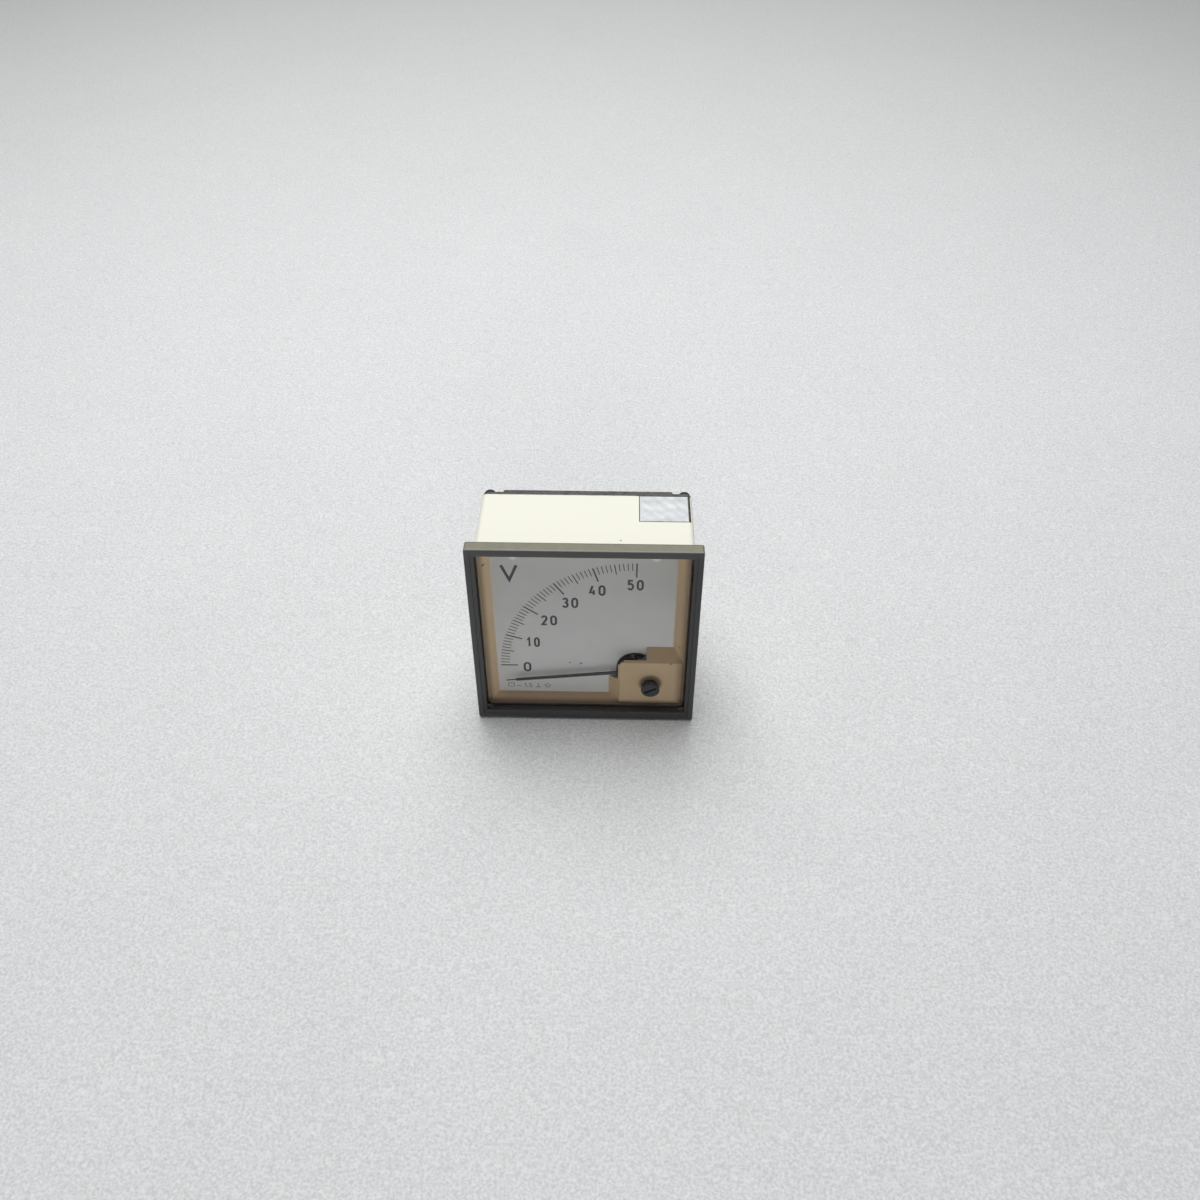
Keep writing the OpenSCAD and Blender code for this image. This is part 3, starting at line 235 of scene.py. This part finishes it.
def case_finish():
    """Cream case: nearly white, a little yellowed, with fine dirt at its rear edge, painted shade on its front
    rim inside the frame, and one dark speck.
    """
    f = Finish("case_cream_satin", IOR=1.5)
    blotch, fine, speck = f.noise(11.0, 4.0, 0.6), f.noise(0.9, 3.0), f.noise(0.25, 2.0)
    base = f.mix((blotch - 0.3) * 1.4, (0.905, 0.900, 0.785), (0.885, 0.872, 0.745))
    rear = (f.y - (CASE_HIGH.y - 0.9 * MM)) / (0.9 * MM)
    soil = rear.rise(0.2, 1.0) * f.noise(5.0, 5.0, 0.6).rise(0.40, 0.75) * 0.4
    base = f.mix(soil, base, (0.20, 0.17, 0.12))
    across, behind = f.x - 11.0 * MM, f.y - FRONT - 8.8 * MM
    speck_mask = (across * across + behind * behind).root().rise(0.45 * MM, 0.2 * MM)
    base = f.mix(speck_mask * f.up().rise(0.5, 0.9) * 0.75, base, (0.16, 0.14, 0.11))
    flecks = f.cells(6.0).rise(0.045, 0.03) * f.noise(15.0).rise(0.5, 0.6)
    base = f.mix(flecks * 0.4, base, (0.32, 0.28, 0.2))
    # Painted shade: the case's front rim, inside the frame's lip, is painted almost black.
    base = f.mix(((f.y - FRONT) / MM).rise(3.9, 3.6), base, (0.045, 0.036, 0.028))
    f.feed("Base Color", base)
    f.feed("Roughness", 0.42 + (blotch - 0.5) * 0.2 + (fine - 0.5) * 0.1)
    return f.bump(fine * 0.5 + speck, 0.010)


def mask_finish():
    """Tan mask: browner and darker towards the glass, partly grime and partly painted shade under the frame's
    lip, with a few specks; painted light on its left wall, painted shade on its upward faces and a painted
    shadow around the adjuster.
    """
    f = Finish("mask_tan_matt", IOR=1.45)
    blotch, fine, speck = f.noise(8.0, 4.0, 0.6), f.noise(0.8, 3.0), f.noise(0.25, 2.0)
    depth = (f.y - FRONT) / MM
    low = ((f.z - 5.6 * MM) / MM).rise(1.2, -0.6)
    base = f.mix((blotch - 0.3) * 1.5, (0.68, 0.505, 0.310), (0.61, 0.445, 0.268))
    # Painted light: the left wall is painted much paler.
    base = f.mix((f.x / MM).rise(-26.0, -29.5) * 0.8, base, (0.86, 0.655, 0.42))
    # Painted shade: faces that look up are painted darker.
    shaded = f.up().rise(0.3, 0.9) * 0.6
    base = f.mix(shaded, base, (0.33, 0.225, 0.14))
    # Darker towards the glass: partly grime, partly painted shade under the frame's lip.
    edge = depth.rise(6.0, 3.6) * (0.62 + 0.36 * low)
    outer = (abs(f.x) / MM).rise(28.9, 32.2).high((f.z / MM).rise(6.2, 4.0))
    base = f.mix(edge * outer, base, (0.125, 0.085, 0.055))
    # Painted shadow: a dark brown ring around the adjuster, centred a little above it.
    across, above = f.x - ADJUSTER.x, f.z - ADJUSTER.z - 0.5 * MM
    painted_adjuster_shadow = (across * across + above * above).root().rise(4.5 * MM, 2.9 * MM)
    base = f.mix(painted_adjuster_shadow * 0.75, base, (0.10, 0.066, 0.042))
    for x, z, r in ((-31.1, 62.2, 0.5), (30.6, 28.6, 0.3), (28.0, 22.6, 0.35)):
        base = f.mix(f.spot(x * MM, z * MM, r * MM) * 0.8, base, (0.05, 0.04, 0.03))
    f.feed("Base Color", base)
    f.feed("Roughness", 0.62 + (blotch - 0.5) * 0.2)
    return f.bump(fine * 0.6 + speck, 0.012)


def dial_finish():
    """White dial paint; whatever stands proud of the plate is printed dark."""
    f = Finish("dial_white_print", IOR=1.45)
    blotch, fine = f.noise(14.0, 3.0), f.noise(0.35, 3.0)
    # Painted light: the paint is paler towards the dial's foot and darker towards its top.
    low = (f.z / MM).rise(64.0, 8.0)
    white = f.mix((low + (blotch - 0.5) * 0.4).high(0.0).low(1.0), (0.64, 0.64, 0.62), (0.80, 0.80, 0.785))
    # Painted shade: the upper right of the dial is painted darker and yellower.
    white = f.mix((f.x / MM).rise(6.0, 27.0) * (f.z / MM).rise(40.0, 58.0) * 0.5, white, (0.56, 0.555, 0.53))
    # Painted shade: darker and browner along the left and right edges, beside the mask's walls.
    rim = ((DIAL_LOW.x + 2.6 * MM - f.x) / MM).rise(0.4, 1.6).high(((f.x - 27.6 * MM) / MM).rise(0.2, 1.8))
    white = f.mix(rim * 0.35, white, (0.50, 0.45, 0.36))
    for x, z, r in ((-5.3, 18.9, 0.34), (-1.6, 18.6, 0.46)):
        white = f.mix(f.spot(x * MM, z * MM, r * MM) * 0.9, white, (0.06, 0.06, 0.06))
    ink = (f.y < DIAL_FACE - 0.02 * MM)
    f.feed("Base Color", f.mix(ink, white, (0.065, 0.065, 0.07)))
    f.feed("Roughness", 0.5 + (blotch - 0.5) * 0.15 + ink * 0.1)
    return f.bump(fine, 0.004)


def ink_finish(name, dark, pale):
    """Printing ink, a little worn."""
    f = Finish(name, IOR=1.45)
    worn = f.noise(0.6, 4.0, 0.7)
    f.feed("Base Color", f.mix((worn - 0.45) * 1.2, dark, pale))
    f.feed("Roughness", 0.55 + (worn - 0.5) * 0.2)
    return f.bump(worn, 0.004)


def pane_finish():
    """Clear pane: almost invisible, with a film of dust; its corners carry a dark film, partly dust and partly
    painted shade under the frame's lip.
    """
    f = Finish("pane_clear", IOR=1.49, Roughness=0.12)
    film = f.noise(6.0, 5.0, 0.65)
    edge_x = (abs(f.x) / MM).rise(30.4, 33.2)
    edge_z = (abs(f.z - 36.0 * MM) / MM).rise(30.6, 33.2)
    # The corners: a dark brown, much less clear film, partly dust and partly painted shade.
    corner = (edge_x * edge_z).rise(0.02, 0.75)
    scratch = f.noise(0.5, 2.0, place=f.stretched(0.05, 1.0, 1.0)).rise(0.72, 0.8)
    f.feed("Base Color", f.mix(corner, (0.45, 0.46, 0.45), (0.10, 0.085, 0.07)))
    f.feed("Alpha", 0.015 + film.rise(0.4, 0.9) * 0.035 + corner * 0.55 + scratch * 0.02)
    f.feed("Roughness", 0.10 + film * 0.12)
    return f


def wound(name):
    """Enamelled copper wire: fine turns side by side across the winding, in a lightened grey that is painted
    light for the dim inside of the eye.
    """
    f = Finish(name, Metallic=0.0)
    turns = f.node("ShaderNodeTexWave", {"bands_direction": "DIAGONAL", "wave_profile": "SIN"},
                   {"Vector": f.place, "Scale": 1000.0 / 0.9, "Distortion": 0.4})[1]
    age = f.noise(1.5, 3.0)
    # Painted light: the grey is lightened to stand for light that hardly reaches inside the eye.
    f.feed("Base Color", f.mix((turns * 0.7 + age * 0.4).low(1.0), (0.24, 0.23, 0.235), (0.38, 0.355, 0.345)))
    f.feed("Roughness", 0.3 + age * 0.2)
    return f.bump(turns, 0.03)


def sticker_finish():
    """A bare silvery film: cloudy patches, soft creases and a broken dark line of grime at its rim."""
    f = Finish("sticker_film", Metallic=0.35, IOR=1.45)
    cloud, crease = f.noise(3.5, 4.0, 0.6), f.noise(1.2, 3.0, 0.6, f.stretched(1.0, 0.25, 1.0))
    left, right, front, back = STICKER
    in_x = (right - left) / 2 - abs(f.x / MM - (left + right) / 2)
    in_y = (back - front) / 2 - abs((f.y - FRONT) / MM - (front + back) / 2)
    rim = in_x.low(in_y)
    broken = f.noise(1.1, 5.0, 0.75).rise(0.30, 0.44)
    grime = rim.rise(0.36, 0.16) * broken
    base = f.mix(cloud.rise(0.35, 0.7), (0.66, 0.685, 0.70), (0.76, 0.78, 0.78))
    f.feed("Base Color", f.mix(grime, base, (0.055, 0.05, 0.04)))
    f.feed("Metallic", 0.35 * (1.0 - grime))
    f.feed("Roughness", 0.32 + cloud * 0.2 + grime * 0.4)
    return f.bump(crease + cloud * 0.5, 0.03)


def sheet_finish():
    """Pale foam sheet: faint fibre shine and a slow cloudy tint; its very soft folds are left out."""
    f = Finish("floor_sheet", IOR=1.3)
    cloud, fibre, glint = f.noise(60.0, 4.0, 0.6), f.noise(2.2, 6.0, 0.7), f.noise(0.8, 2.0, 0.6)
    share = (0.5 + (cloud - 0.5) * 0.25 + (fibre - 0.5) * 0.35 + (glint - 0.5) * 2.8).high(0.0).low(1.0)
    tint = f.mix(share, (0.87, 0.88, 0.885), (0.66, 0.67, 0.675))
    # Painted shade: the sheet is painted darker further back.
    f.feed("Base Color", f.mix(f.y.rise(0.12, 0.75) * 0.6, tint, (0.56, 0.565, 0.56)))
    f.feed("Roughness", 0.75 + (fibre - 0.5) * 0.3)
    return f.bump(fibre, 0.35)


# The sticker's left, right, front and back edges on the case, in mm from the middle and from the front
STICKER = (16.6, 32.3, 18.4, 31.95)

brass = metal("brass_turned", (0.78, 0.58, 0.27), (0.42, 0.29, 0.13), 0.30, 0.5)
plated = metal("brass_nickel_dull", (0.66, 0.62, 0.52), (0.40, 0.36, 0.28), 0.34, 0.4)
zinc = metal("steel_zinc", (0.62, 0.62, 0.60), (0.40, 0.40, 0.38), 0.34, 0.4)
spring = metal("spring_steel_dull", (0.30, 0.30, 0.31), (0.16, 0.15, 0.15), 0.42, 0.5)
black_screw = metal("steel_blackened", (0.055, 0.055, 0.06), (0.10, 0.085, 0.07), 0.42, 0.3)
bright = metal("aluminium_bright", (0.80, 0.80, 0.81), (0.62, 0.62, 0.63), 0.3, 0.6)
bronze = metal("bronze_strip", (0.72, 0.46, 0.22), (0.5, 0.3, 0.14), 0.25, 0.6)
# Painted light: a grey oxide, lightened to stand for light that hardly reaches the parts deep in the eye.
lightened_oxide = moulded("iron_grey_oxide", (0.29, 0.29, 0.30), (0.36, 0.355, 0.36), 0.55, 0.010)
tinned = metal("tinned_tag", (0.70, 0.69, 0.66), (0.5, 0.49, 0.46), 0.38, 0.2)
FINISHES = {
    "bezel_frame": frame_finish(),
    "window_pane": pane_finish(),
    "case_shell": case_finish(),
    "dial_mask": mask_finish(),
    "dial_plate": dial_finish(),
    "back_cover": moulded("cover_black_satin", (0.030, 0.030, 0.032), (0.042, 0.041, 0.040), 0.45,
                          0.014, 0.5, (0.20, 0.19, 0.17)),
    "cover_screws": black_screw,
    "pointer": moulded("pointer_black_paint", (0.045, 0.048, 0.050), (0.060, 0.062, 0.064), 0.5, 0.004),
    # Painted light: the hub's black paint is lightened to grey for the dim inside of the eye.
    "pointer_hub": moulded("hub_paint_lightened_grey", (0.13, 0.133, 0.140), (0.17, 0.17, 0.175), 0.5, 0.004),
    "zero_screw": moulded("adjuster_black", (0.038, 0.037, 0.040), (0.054, 0.052, 0.053), 0.5, 0.008),
    "zero_clip": spring,
    "spring_washers": spring,
    "circuit_board": moulded("board_laminate", (0.42, 0.30, 0.12), (0.34, 0.24, 0.10), 0.45, 0.01),
    "board_spacers": moulded("nylon_white", (0.82, 0.81, 0.76), (0.76, 0.74, 0.68), 0.5, 0.006),
    "series_resistors": moulded("resistor_lacquer", (0.30, 0.46, 0.60), (0.24, 0.38, 0.52), 0.28, 0.004),
    "lead_plus": moulded("lead_red_sleeve", (0.55, 0.04, 0.03), (0.42, 0.03, 0.02), 0.35, 0.006),
    "lead_minus": moulded("lead_blue_sleeve", (0.04, 0.09, 0.40), (0.03, 0.06, 0.30), 0.35, 0.006),
    "coil_former": bright,
    "coil_winding": wound("winding_copper"),
    "front_hairspring": metal("bronze_strip_dull", (0.20, 0.165, 0.14), (0.13, 0.11, 0.10), 0.55, 0.6),
    "rear_hairspring": bronze,
    "solder_tags": tinned,
    "terminal_stud_plus": plated, "terminal_stud_minus": plated,
    "base_nuts": plated, "terminal_nuts": plated,
    "base_washers": zinc, "terminal_washers": zinc,
}
for name in ("dial_pillars", "rear_bridge", "rear_jewel_screw"):
    FINISHES[name] = brass
for name in ("front_bridge", "front_jewel_screw", "jewel_nuts", "yoke_ring", "core_magnet", "core_holder",
             "balance_weights"):
    FINISHES[name] = lightened_oxide
for name in ("dial_screws", "carrier_plate", "carrier_screws", "board_screws", "yoke_screws",
             "bridge_screws", "front_spindle", "rear_spindle", "zero_lever"):
    FINISHES[name] = zinc


def dress(thing, finish):
    """Puts one finish on every slot of a piece."""
    thing.data.materials.clear()
    thing.data.materials.append(finish.material)


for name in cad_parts:
    dress(bpy.data.objects[name], FINISHES[name])

# ---------------------------------------------------------------- shapes


def new_piece(name, points, faces, finish, body="meter", smooth=False):
    """A piece from arrays of points (metres) and faces, riding on a body."""
    mesh = bpy.data.meshes.new(name)
    mesh.from_pydata(np.asarray(points).tolist(), [], [list(map(int, face)) for face in faces])
    mesh.validate()
    mesh.update()
    if smooth:
        mesh.polygons.foreach_set("use_smooth", np.ones(len(mesh.polygons), bool))
    piece = bpy.data.objects.new(name, mesh)
    bpy.context.scene.collection.objects.link(piece)
    dress(piece, finish)
    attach(piece, body)
    return piece


def ribbon(path, width):
    """A flat ribbon along a path in the dial's plane.

    Each point of the path moves half the width to either side along the bisector of its two
    neighbouring normals, divided by the cosine of half the turn so that the width stays true."""
    path = np.asarray(path, float)
    closed = np.allclose(path[0], path[-1])
    step = np.diff(path, axis=0)
    normal = np.stack([-step[:, 1], step[:, 0]], 1) / np.linalg.norm(step, axis=1)[:, None]
    before = np.vstack([normal[-1:] if closed else normal[:1], normal])
    after = np.vstack([normal, normal[:1] if closed else normal[-1:]])
    bisector = before + after
    bisector /= np.linalg.norm(bisector, axis=1)[:, None]
    reach = width / 2 / np.maximum((bisector * after).sum(1), 0.4)[:, None]
    return path + bisector * reach, path - bisector * reach


def printed(name, strokes, finish=None):
    """Flat ink on the dial: each stroke is a (path, width) in mm, raised a hair above the paint."""
    points, faces = [], []
    back = DIAL_FACE + 0.02 * MM
    for layer, (path, width) in enumerate(strokes):
        front = DIAL_FACE - (0.045 + 0.004 * (layer % 4)) * MM
        left, right = ribbon(path, width)
        n, start = len(left), sum(len(p) for p in points)
        for y in (front, back):
            for side in (left, right):
                points.append(np.stack([side[:, 0] * MM, np.full(n, y), side[:, 1] * MM], 1))
        i = np.arange(n - 1) + start
        a, b, c, d = i, i + n, i + 2 * n, i + 3 * n
        faces += [np.stack([a, a + 1, b + 1, b], 1), np.stack([c, d, d + 1, c + 1], 1),
                  np.stack([a, c, c + 1, a + 1], 1), np.stack([b, b + 1, d + 1, d], 1)]
        if not np.allclose(path[0], path[-1]):
            first, last = start, start + n - 1
            faces += [np.array([[first, first + n, first + 3 * n, first + 2 * n]]),
                      np.array([[last, last + 2 * n, last + 3 * n, last + n]])]
    new_piece(name, np.vstack(points), np.vstack(faces), finish or INK)


def arc(x, z, rx, rz, start, end, count=14):
    """Points on an ellipse from one angle to another, counted from the right, upwards."""
    t = np.radians(np.linspace(start, end, count))
    return np.stack([x + rx * np.cos(t), z + rz * np.sin(t)], 1)


def join(*parts):
    """One path from several, end to end."""
    return np.vstack([np.asarray(p, float).reshape(-1, 2) for p in parts])


def digit(sign):
    """Strokes of one plain upright numeral in a box 1 wide and 1 high; x and z run from 0 to 1."""
    if sign == "0":
        top, low = arc(0.5, 0.69, 0.5, 0.31, 0, 180), arc(0.5, 0.31, 0.5, 0.31, 180, 360)
        return [join(top, low, top[:1])]
    if sign == "1":
        return [[(0.22, 0.74), (0.68, 1.0), (0.68, 0.0)]]
    if sign == "2":
        return [join(arc(0.5, 0.72, 0.46, 0.28, 165, -28), [(0.06, 0.0), (1.0, 0.0)])]
    if sign == "3":
        return [join(arc(0.48, 0.765, 0.42, 0.235, 160, -90), [(0.34, 0.53)]),
                join([(0.34, 0.53)], arc(0.48, 0.265, 0.48, 0.265, 90, -160))]
    if sign == "4":
        return [[(0.52, 1.0), (0.02, 0.26), (1.0, 0.26)], [(0.76, 0.52), (0.76, 0.0)]]
    if sign == "5":
        return [[(0.92, 1.0), (0.14, 1.0), (0.10, 0.50)],
                join([(0.10, 0.50)], arc(0.46, 0.325, 0.5, 0.325, 118, -152))]
    return []


def lettering(name, text, box, width):
    """Numerals side by side in a box (left, bottom, right, top), in mm; width is the stroke's."""
    left, low, right, high = box
    gap = 0.75 if len(text) > 1 else 0.0
    wide = (right - left - gap * (len(text) - 1)) / len(text)
    strokes = []
    for i, sign in enumerate(text):
        origin = np.array([left + i * (wide + gap) + width / 2, low + width / 2])
        size = np.array([wide - width, high - low - width])
        strokes += [(origin + np.asarray(path, float) * size, width) for path in digit(sign)]
    printed(name, strokes)


INK = ink_finish("print_ink", (0.075, 0.075, 0.082), (0.14, 0.14, 0.145))
FAINT_INK = ink_finish("print_ink_faint", (0.20, 0.20, 0.20), (0.34, 0.34, 0.33))
lettering("number_0", "0", (-20.75, 14.5, -18.2, 18.8), 0.7)
lettering("number_10", "10", (-19.6, 25.8, -14.95, 30.1), 0.7)
lettering("number_20", "20", (-14.3, 35.5, -9.1, 39.75), 0.7)
lettering("number_30", "30", (-7.4, 43.1, -2.2, 47.4), 0.7)
lettering("number_40", "40", (1.2, 48.4, 6.45, 52.7), 0.7)
lettering("number_50", "50", (13.2, 50.8, 18.4, 55.1), 0.7)
printed("volt_sign", [([(-26.0, 60.3), (-23.6, 54.4), (-21.2, 60.3)], 0.95)])


def symbols():
    """The small marks that such dials carry: moving coil, direct current, class, upright use, test star."""
    thin, base, x = 0.22, 7.0, -26.2
    rows = [([(x, base + 0.2), (x, base + 1.9), (x + 1.9, base + 1.9), (x + 1.9, base + 0.2)], thin),
            ([(x + 0.45, base + 0.2), (x + 1.45, base + 0.2)], thin),
            ([(x + 2.8, base + 0.7), (x + 4.3, base + 0.7)], thin)]
    for sign, at in (("1", 5.2), ("5", 7.0)):
        for path in digit(sign):
            rows.append((np.array([x + at, base + 0.1]) + np.asarray(path, float) * np.array([0.95, 1.8]), thin))
    rows += [([(x + 6.45, base + 0.1), (x + 6.45, base + 0.4)], thin),
             ([(x + 9.2, base + 0.2), (x + 10.9, base + 0.2)], thin),
             ([(x + 10.05, base + 0.25), (x + 10.05, base + 2.0)], thin)]
    reach = np.where(np.arange(11) % 2 == 0, 1.15, 0.5)
    turn = np.radians(90 + 36 * np.arange(11))
    star = np.stack([x + 13.2 + reach * np.cos(turn), base + 1.0 + reach * np.sin(turn)], 1)
    rows.append((star, 0.16))
    printed("dial_symbols", rows, FAINT_INK)


symbols()


def stud(name, node):
    """A terminal stud with its thread.

    Radius over the height y and the turn t: the profile's radius, less on the threaded part a
    triangle wave of the height minus the turn's share of one pitch, so the ridges climb as a helix;
    on the head the radius is that of a hexagon, flats over twice the cosine within its sector."""
    low, high = (np.array(c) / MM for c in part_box(node))
    nut_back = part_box("terminal_nuts")[1][1] / MM
    centre = (low + high) / 2
    core_r, rod_r, head_r, pitch, depth = 1.8, 1.99, (high[2] - low[2]) / 2, 0.7, 0.32
    head0 = low[1] + 0.8
    head1 = head0 + 2.4
    thread = np.linspace(nut_back + 0.01, high[1], 120)
    y = np.concatenate([[low[1], low[1], head0, head0, head1, head1, nut_back, nut_back], thread, [high[1]]])
    rod = np.concatenate([[0.0, 1.25, 1.25, head_r, head_r, core_r, core_r, rod_r],
                          np.full(len(thread), rod_r), [0.0]])
    turn = np.linspace(0, 2 * np.pi, 49)[:-1]
    grid_y, grid_t = np.meshgrid(y, turn, indexing="ij")
    radius = np.repeat(rod[:, None], len(turn), 1)
    phase = np.abs(((grid_y / pitch - grid_t / (2 * np.pi)) % 1.0) * 2 - 1)
    threaded = np.zeros(len(y), bool)
    threaded[8:-1] = True
    ridge = rod_r - depth * np.clip(phase * 1.3 - 0.15, 0, 1)
    chamfer = rod_r - 0.81 * np.clip(grid_y - high[1] + 0.5, 0, 1)
    worn = np.minimum(ridge, chamfer)
    radius[threaded] = worn[threaded]
    hexed = (rod >= head_r - 1e-6)
    sector = (grid_t + np.pi / 6) % (np.pi / 3) - np.pi / 6
    radius[hexed] = (head_r / np.cos(sector))[hexed]
    points = np.stack([centre[0] + radius * np.cos(grid_t), grid_y, centre[2] + radius * np.sin(grid_t)], 2)
    points = points.reshape(-1, 3) * MM
    n, m = len(y), len(turn)
    i, j = np.meshgrid(np.arange(n - 1), np.arange(m), indexing="ij")
    a, b = i * m + j, i * m + (j + 1) % m
    faces = np.stack([a, a + m, b + m, b], 2).reshape(-1, 4)
    piece = new_piece(name, points, faces, plated)
    merge = piece.modifiers.new("close", "WELD")
    merge.merge_threshold = 1e-6
    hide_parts(node)


stud("threaded_stud_plus", "terminal_stud_plus")
stud("threaded_stud_minus", "terminal_stud_minus")


def sticker():
    """A thin film that lies on the case's top and follows its rounded corner.

    The film is a grid: across it, the distance from the left edge follows the flat top and then
    the corner's arc; along it, the depth runs back. The height gets a slow ripple, the product of two sines."""
    left, right, front, back = STICKER
    corner, half = 1.5, CASE_HIGH.x / MM
    s = np.linspace(left, right + 0.5, 40)
    over = np.clip(s - (half - corner), 0, None) / corner
    x = np.where(over > 0, half - corner + corner * np.sin(over), s)
    drop = np.where(over > 0, corner * (1 - np.cos(over)), 0.0)
    t = np.linspace(front, back, 36)
    grid_t, grid_x = np.meshgrid(t, x, indexing="ij")
    grid_drop = np.repeat(drop[None, :], len(t), 0)
    ripple = 0.03 * np.sin(grid_t * 1.3 + grid_x * 0.7) * np.sin(grid_x * 0.9) + 0.03
    z = CASE_TOP / MM + 0.03 + ripple - grid_drop
    top = np.stack([grid_x, grid_t + FRONT / MM, z], 2)
    under = top - np.array([0, 0, 0.05])
    n, m = top.shape[:2]
    points = np.vstack([top.reshape(-1, 3), under.reshape(-1, 3)]) * MM
    i, j = np.meshgrid(np.arange(n - 1), np.arange(m - 1), indexing="ij")
    a = (i * m + j).ravel()
    faces = [np.stack([a, a + 1, a + m + 1, a + m], 1), np.stack([a, a + m, a + m + 1, a + 1], 1) + n * m]
    rim = np.concatenate([np.arange(m - 1), (np.arange(n - 1) + 1) * m - 1,
                          n * m - 1 - np.arange(m - 1), (n - 1 - np.arange(n - 1)) * m])
    after = np.roll(rim, -1)
    faces.append(np.stack([after, rim, rim + n * m, after + n * m], 1))
    new_piece("bare_sticker", points, np.vstack(faces), sticker_finish(), smooth=True)


sticker()

# ---------------------------------------------------------------- floor, light, camera


def floor():
    """A wide pale sheet under the meter, which leans back on its case: the sheet's plane passes
    through the frame's lower edge and the case's lower rear edge."""
    slope = (CASE_LOW.z - FRAME_LOW.z) / (CASE_HIGH.y - FRAME_HIGH.y)
    u = np.linspace(-3.0, 3.0, 61)
    v = np.linspace(-3.0, 3.0, 61)
    grid_u, grid_v = np.meshgrid(u, v, indexing="ij")
    height = FRAME_LOW.z + (grid_v - FRAME_HIGH.y) * slope - 0.0002
    points = np.stack([grid_u, grid_v, height], 2).reshape(-1, 3)
    i, j = np.meshgrid(np.arange(60), np.arange(60), indexing="ij")
    a = (i * 61 + j).ravel()
    mesh = bpy.data.meshes.new("floor")
    mesh.from_pydata(points.tolist(), [], np.stack([a, a + 61, a + 62, a + 1], 1).tolist())
    mesh.polygons.foreach_set("use_smooth", np.ones(len(mesh.polygons), bool))
    sheet = bpy.data.objects.new("floor", mesh)
    bpy.context.scene.collection.objects.link(sheet)
    dress(sheet, sheet_finish())


floor()


def softbox(name, place, aim, size, power, colour=(1.0, 1.0, 1.0)):
    """A square area light at a place, turned to look at its aim."""
    data = bpy.data.lights.new(name, "AREA")
    data.shape, data.size, data.energy, data.color = "SQUARE", size, power, colour
    lamp = bpy.data.objects.new(name, data)
    lamp.location = place
    lamp.rotation_mode = "QUATERNION"
    lamp.rotation_quaternion = (Vector(aim) - Vector(place)).to_track_quat("-Z", "Y")
    bpy.context.scene.collection.objects.link(lamp)


softbox("top_light", (-0.08, 0.04, 1.15), (0.0, 0.0, 0.03), 0.8, 6.2)
softbox("back_light", (-0.08, 0.40, 1.05), (0.0, 0.0, 0.03), 0.8, 7.4)
softbox("front_low", (0.05, -1.0, 0.27), (0.0, 0.0, 0.03), 0.3, 1.4)
world = bpy.data.worlds.new("room")
world.use_nodes = True
world.node_tree.nodes["Background"].inputs[0].default_value = (0.93, 0.96, 1.0, 1.0)
world.node_tree.nodes["Background"].inputs[1].default_value = 0.065
bpy.context.scene.world = world
bpy.context.scene.view_settings.view_transform = "Standard"


def camera():
    """Looks down at the dial from in front: the place and the three axes give its matrix."""
    turn, rise, roll = math.radians(1.1893), math.radians(41.0062), math.radians(0.0479)
    back = Vector((math.sin(turn) * math.cos(rise), -math.cos(turn) * math.cos(rise), math.sin(rise)))
    right = (-back).cross(Vector((0, 0, 1))).normalized()
    up = right.cross(-back)
    right, up = math.cos(roll) * right + math.sin(roll) * up, -math.sin(roll) * right + math.cos(roll) * up
    place = Vector((10.270 * MM, FRONT - 260.395 * MM, 279.582 * MM))
    data = bpy.data.cameras.new("camera")
    data.sensor_width, data.lens = 36.0, 33.705
    data.clip_start, data.clip_end = 0.01, 20.0
    made = bpy.data.objects.new("camera", data)
    made.matrix_world = Matrix((
        (right.x, up.x, back.x, place.x), (right.y, up.y, back.y, place.y),
        (right.z, up.z, back.z, place.z), (0, 0, 0, 1)))
    bpy.context.scene.collection.objects.link(made)
    bpy.context.scene.camera = made


camera()
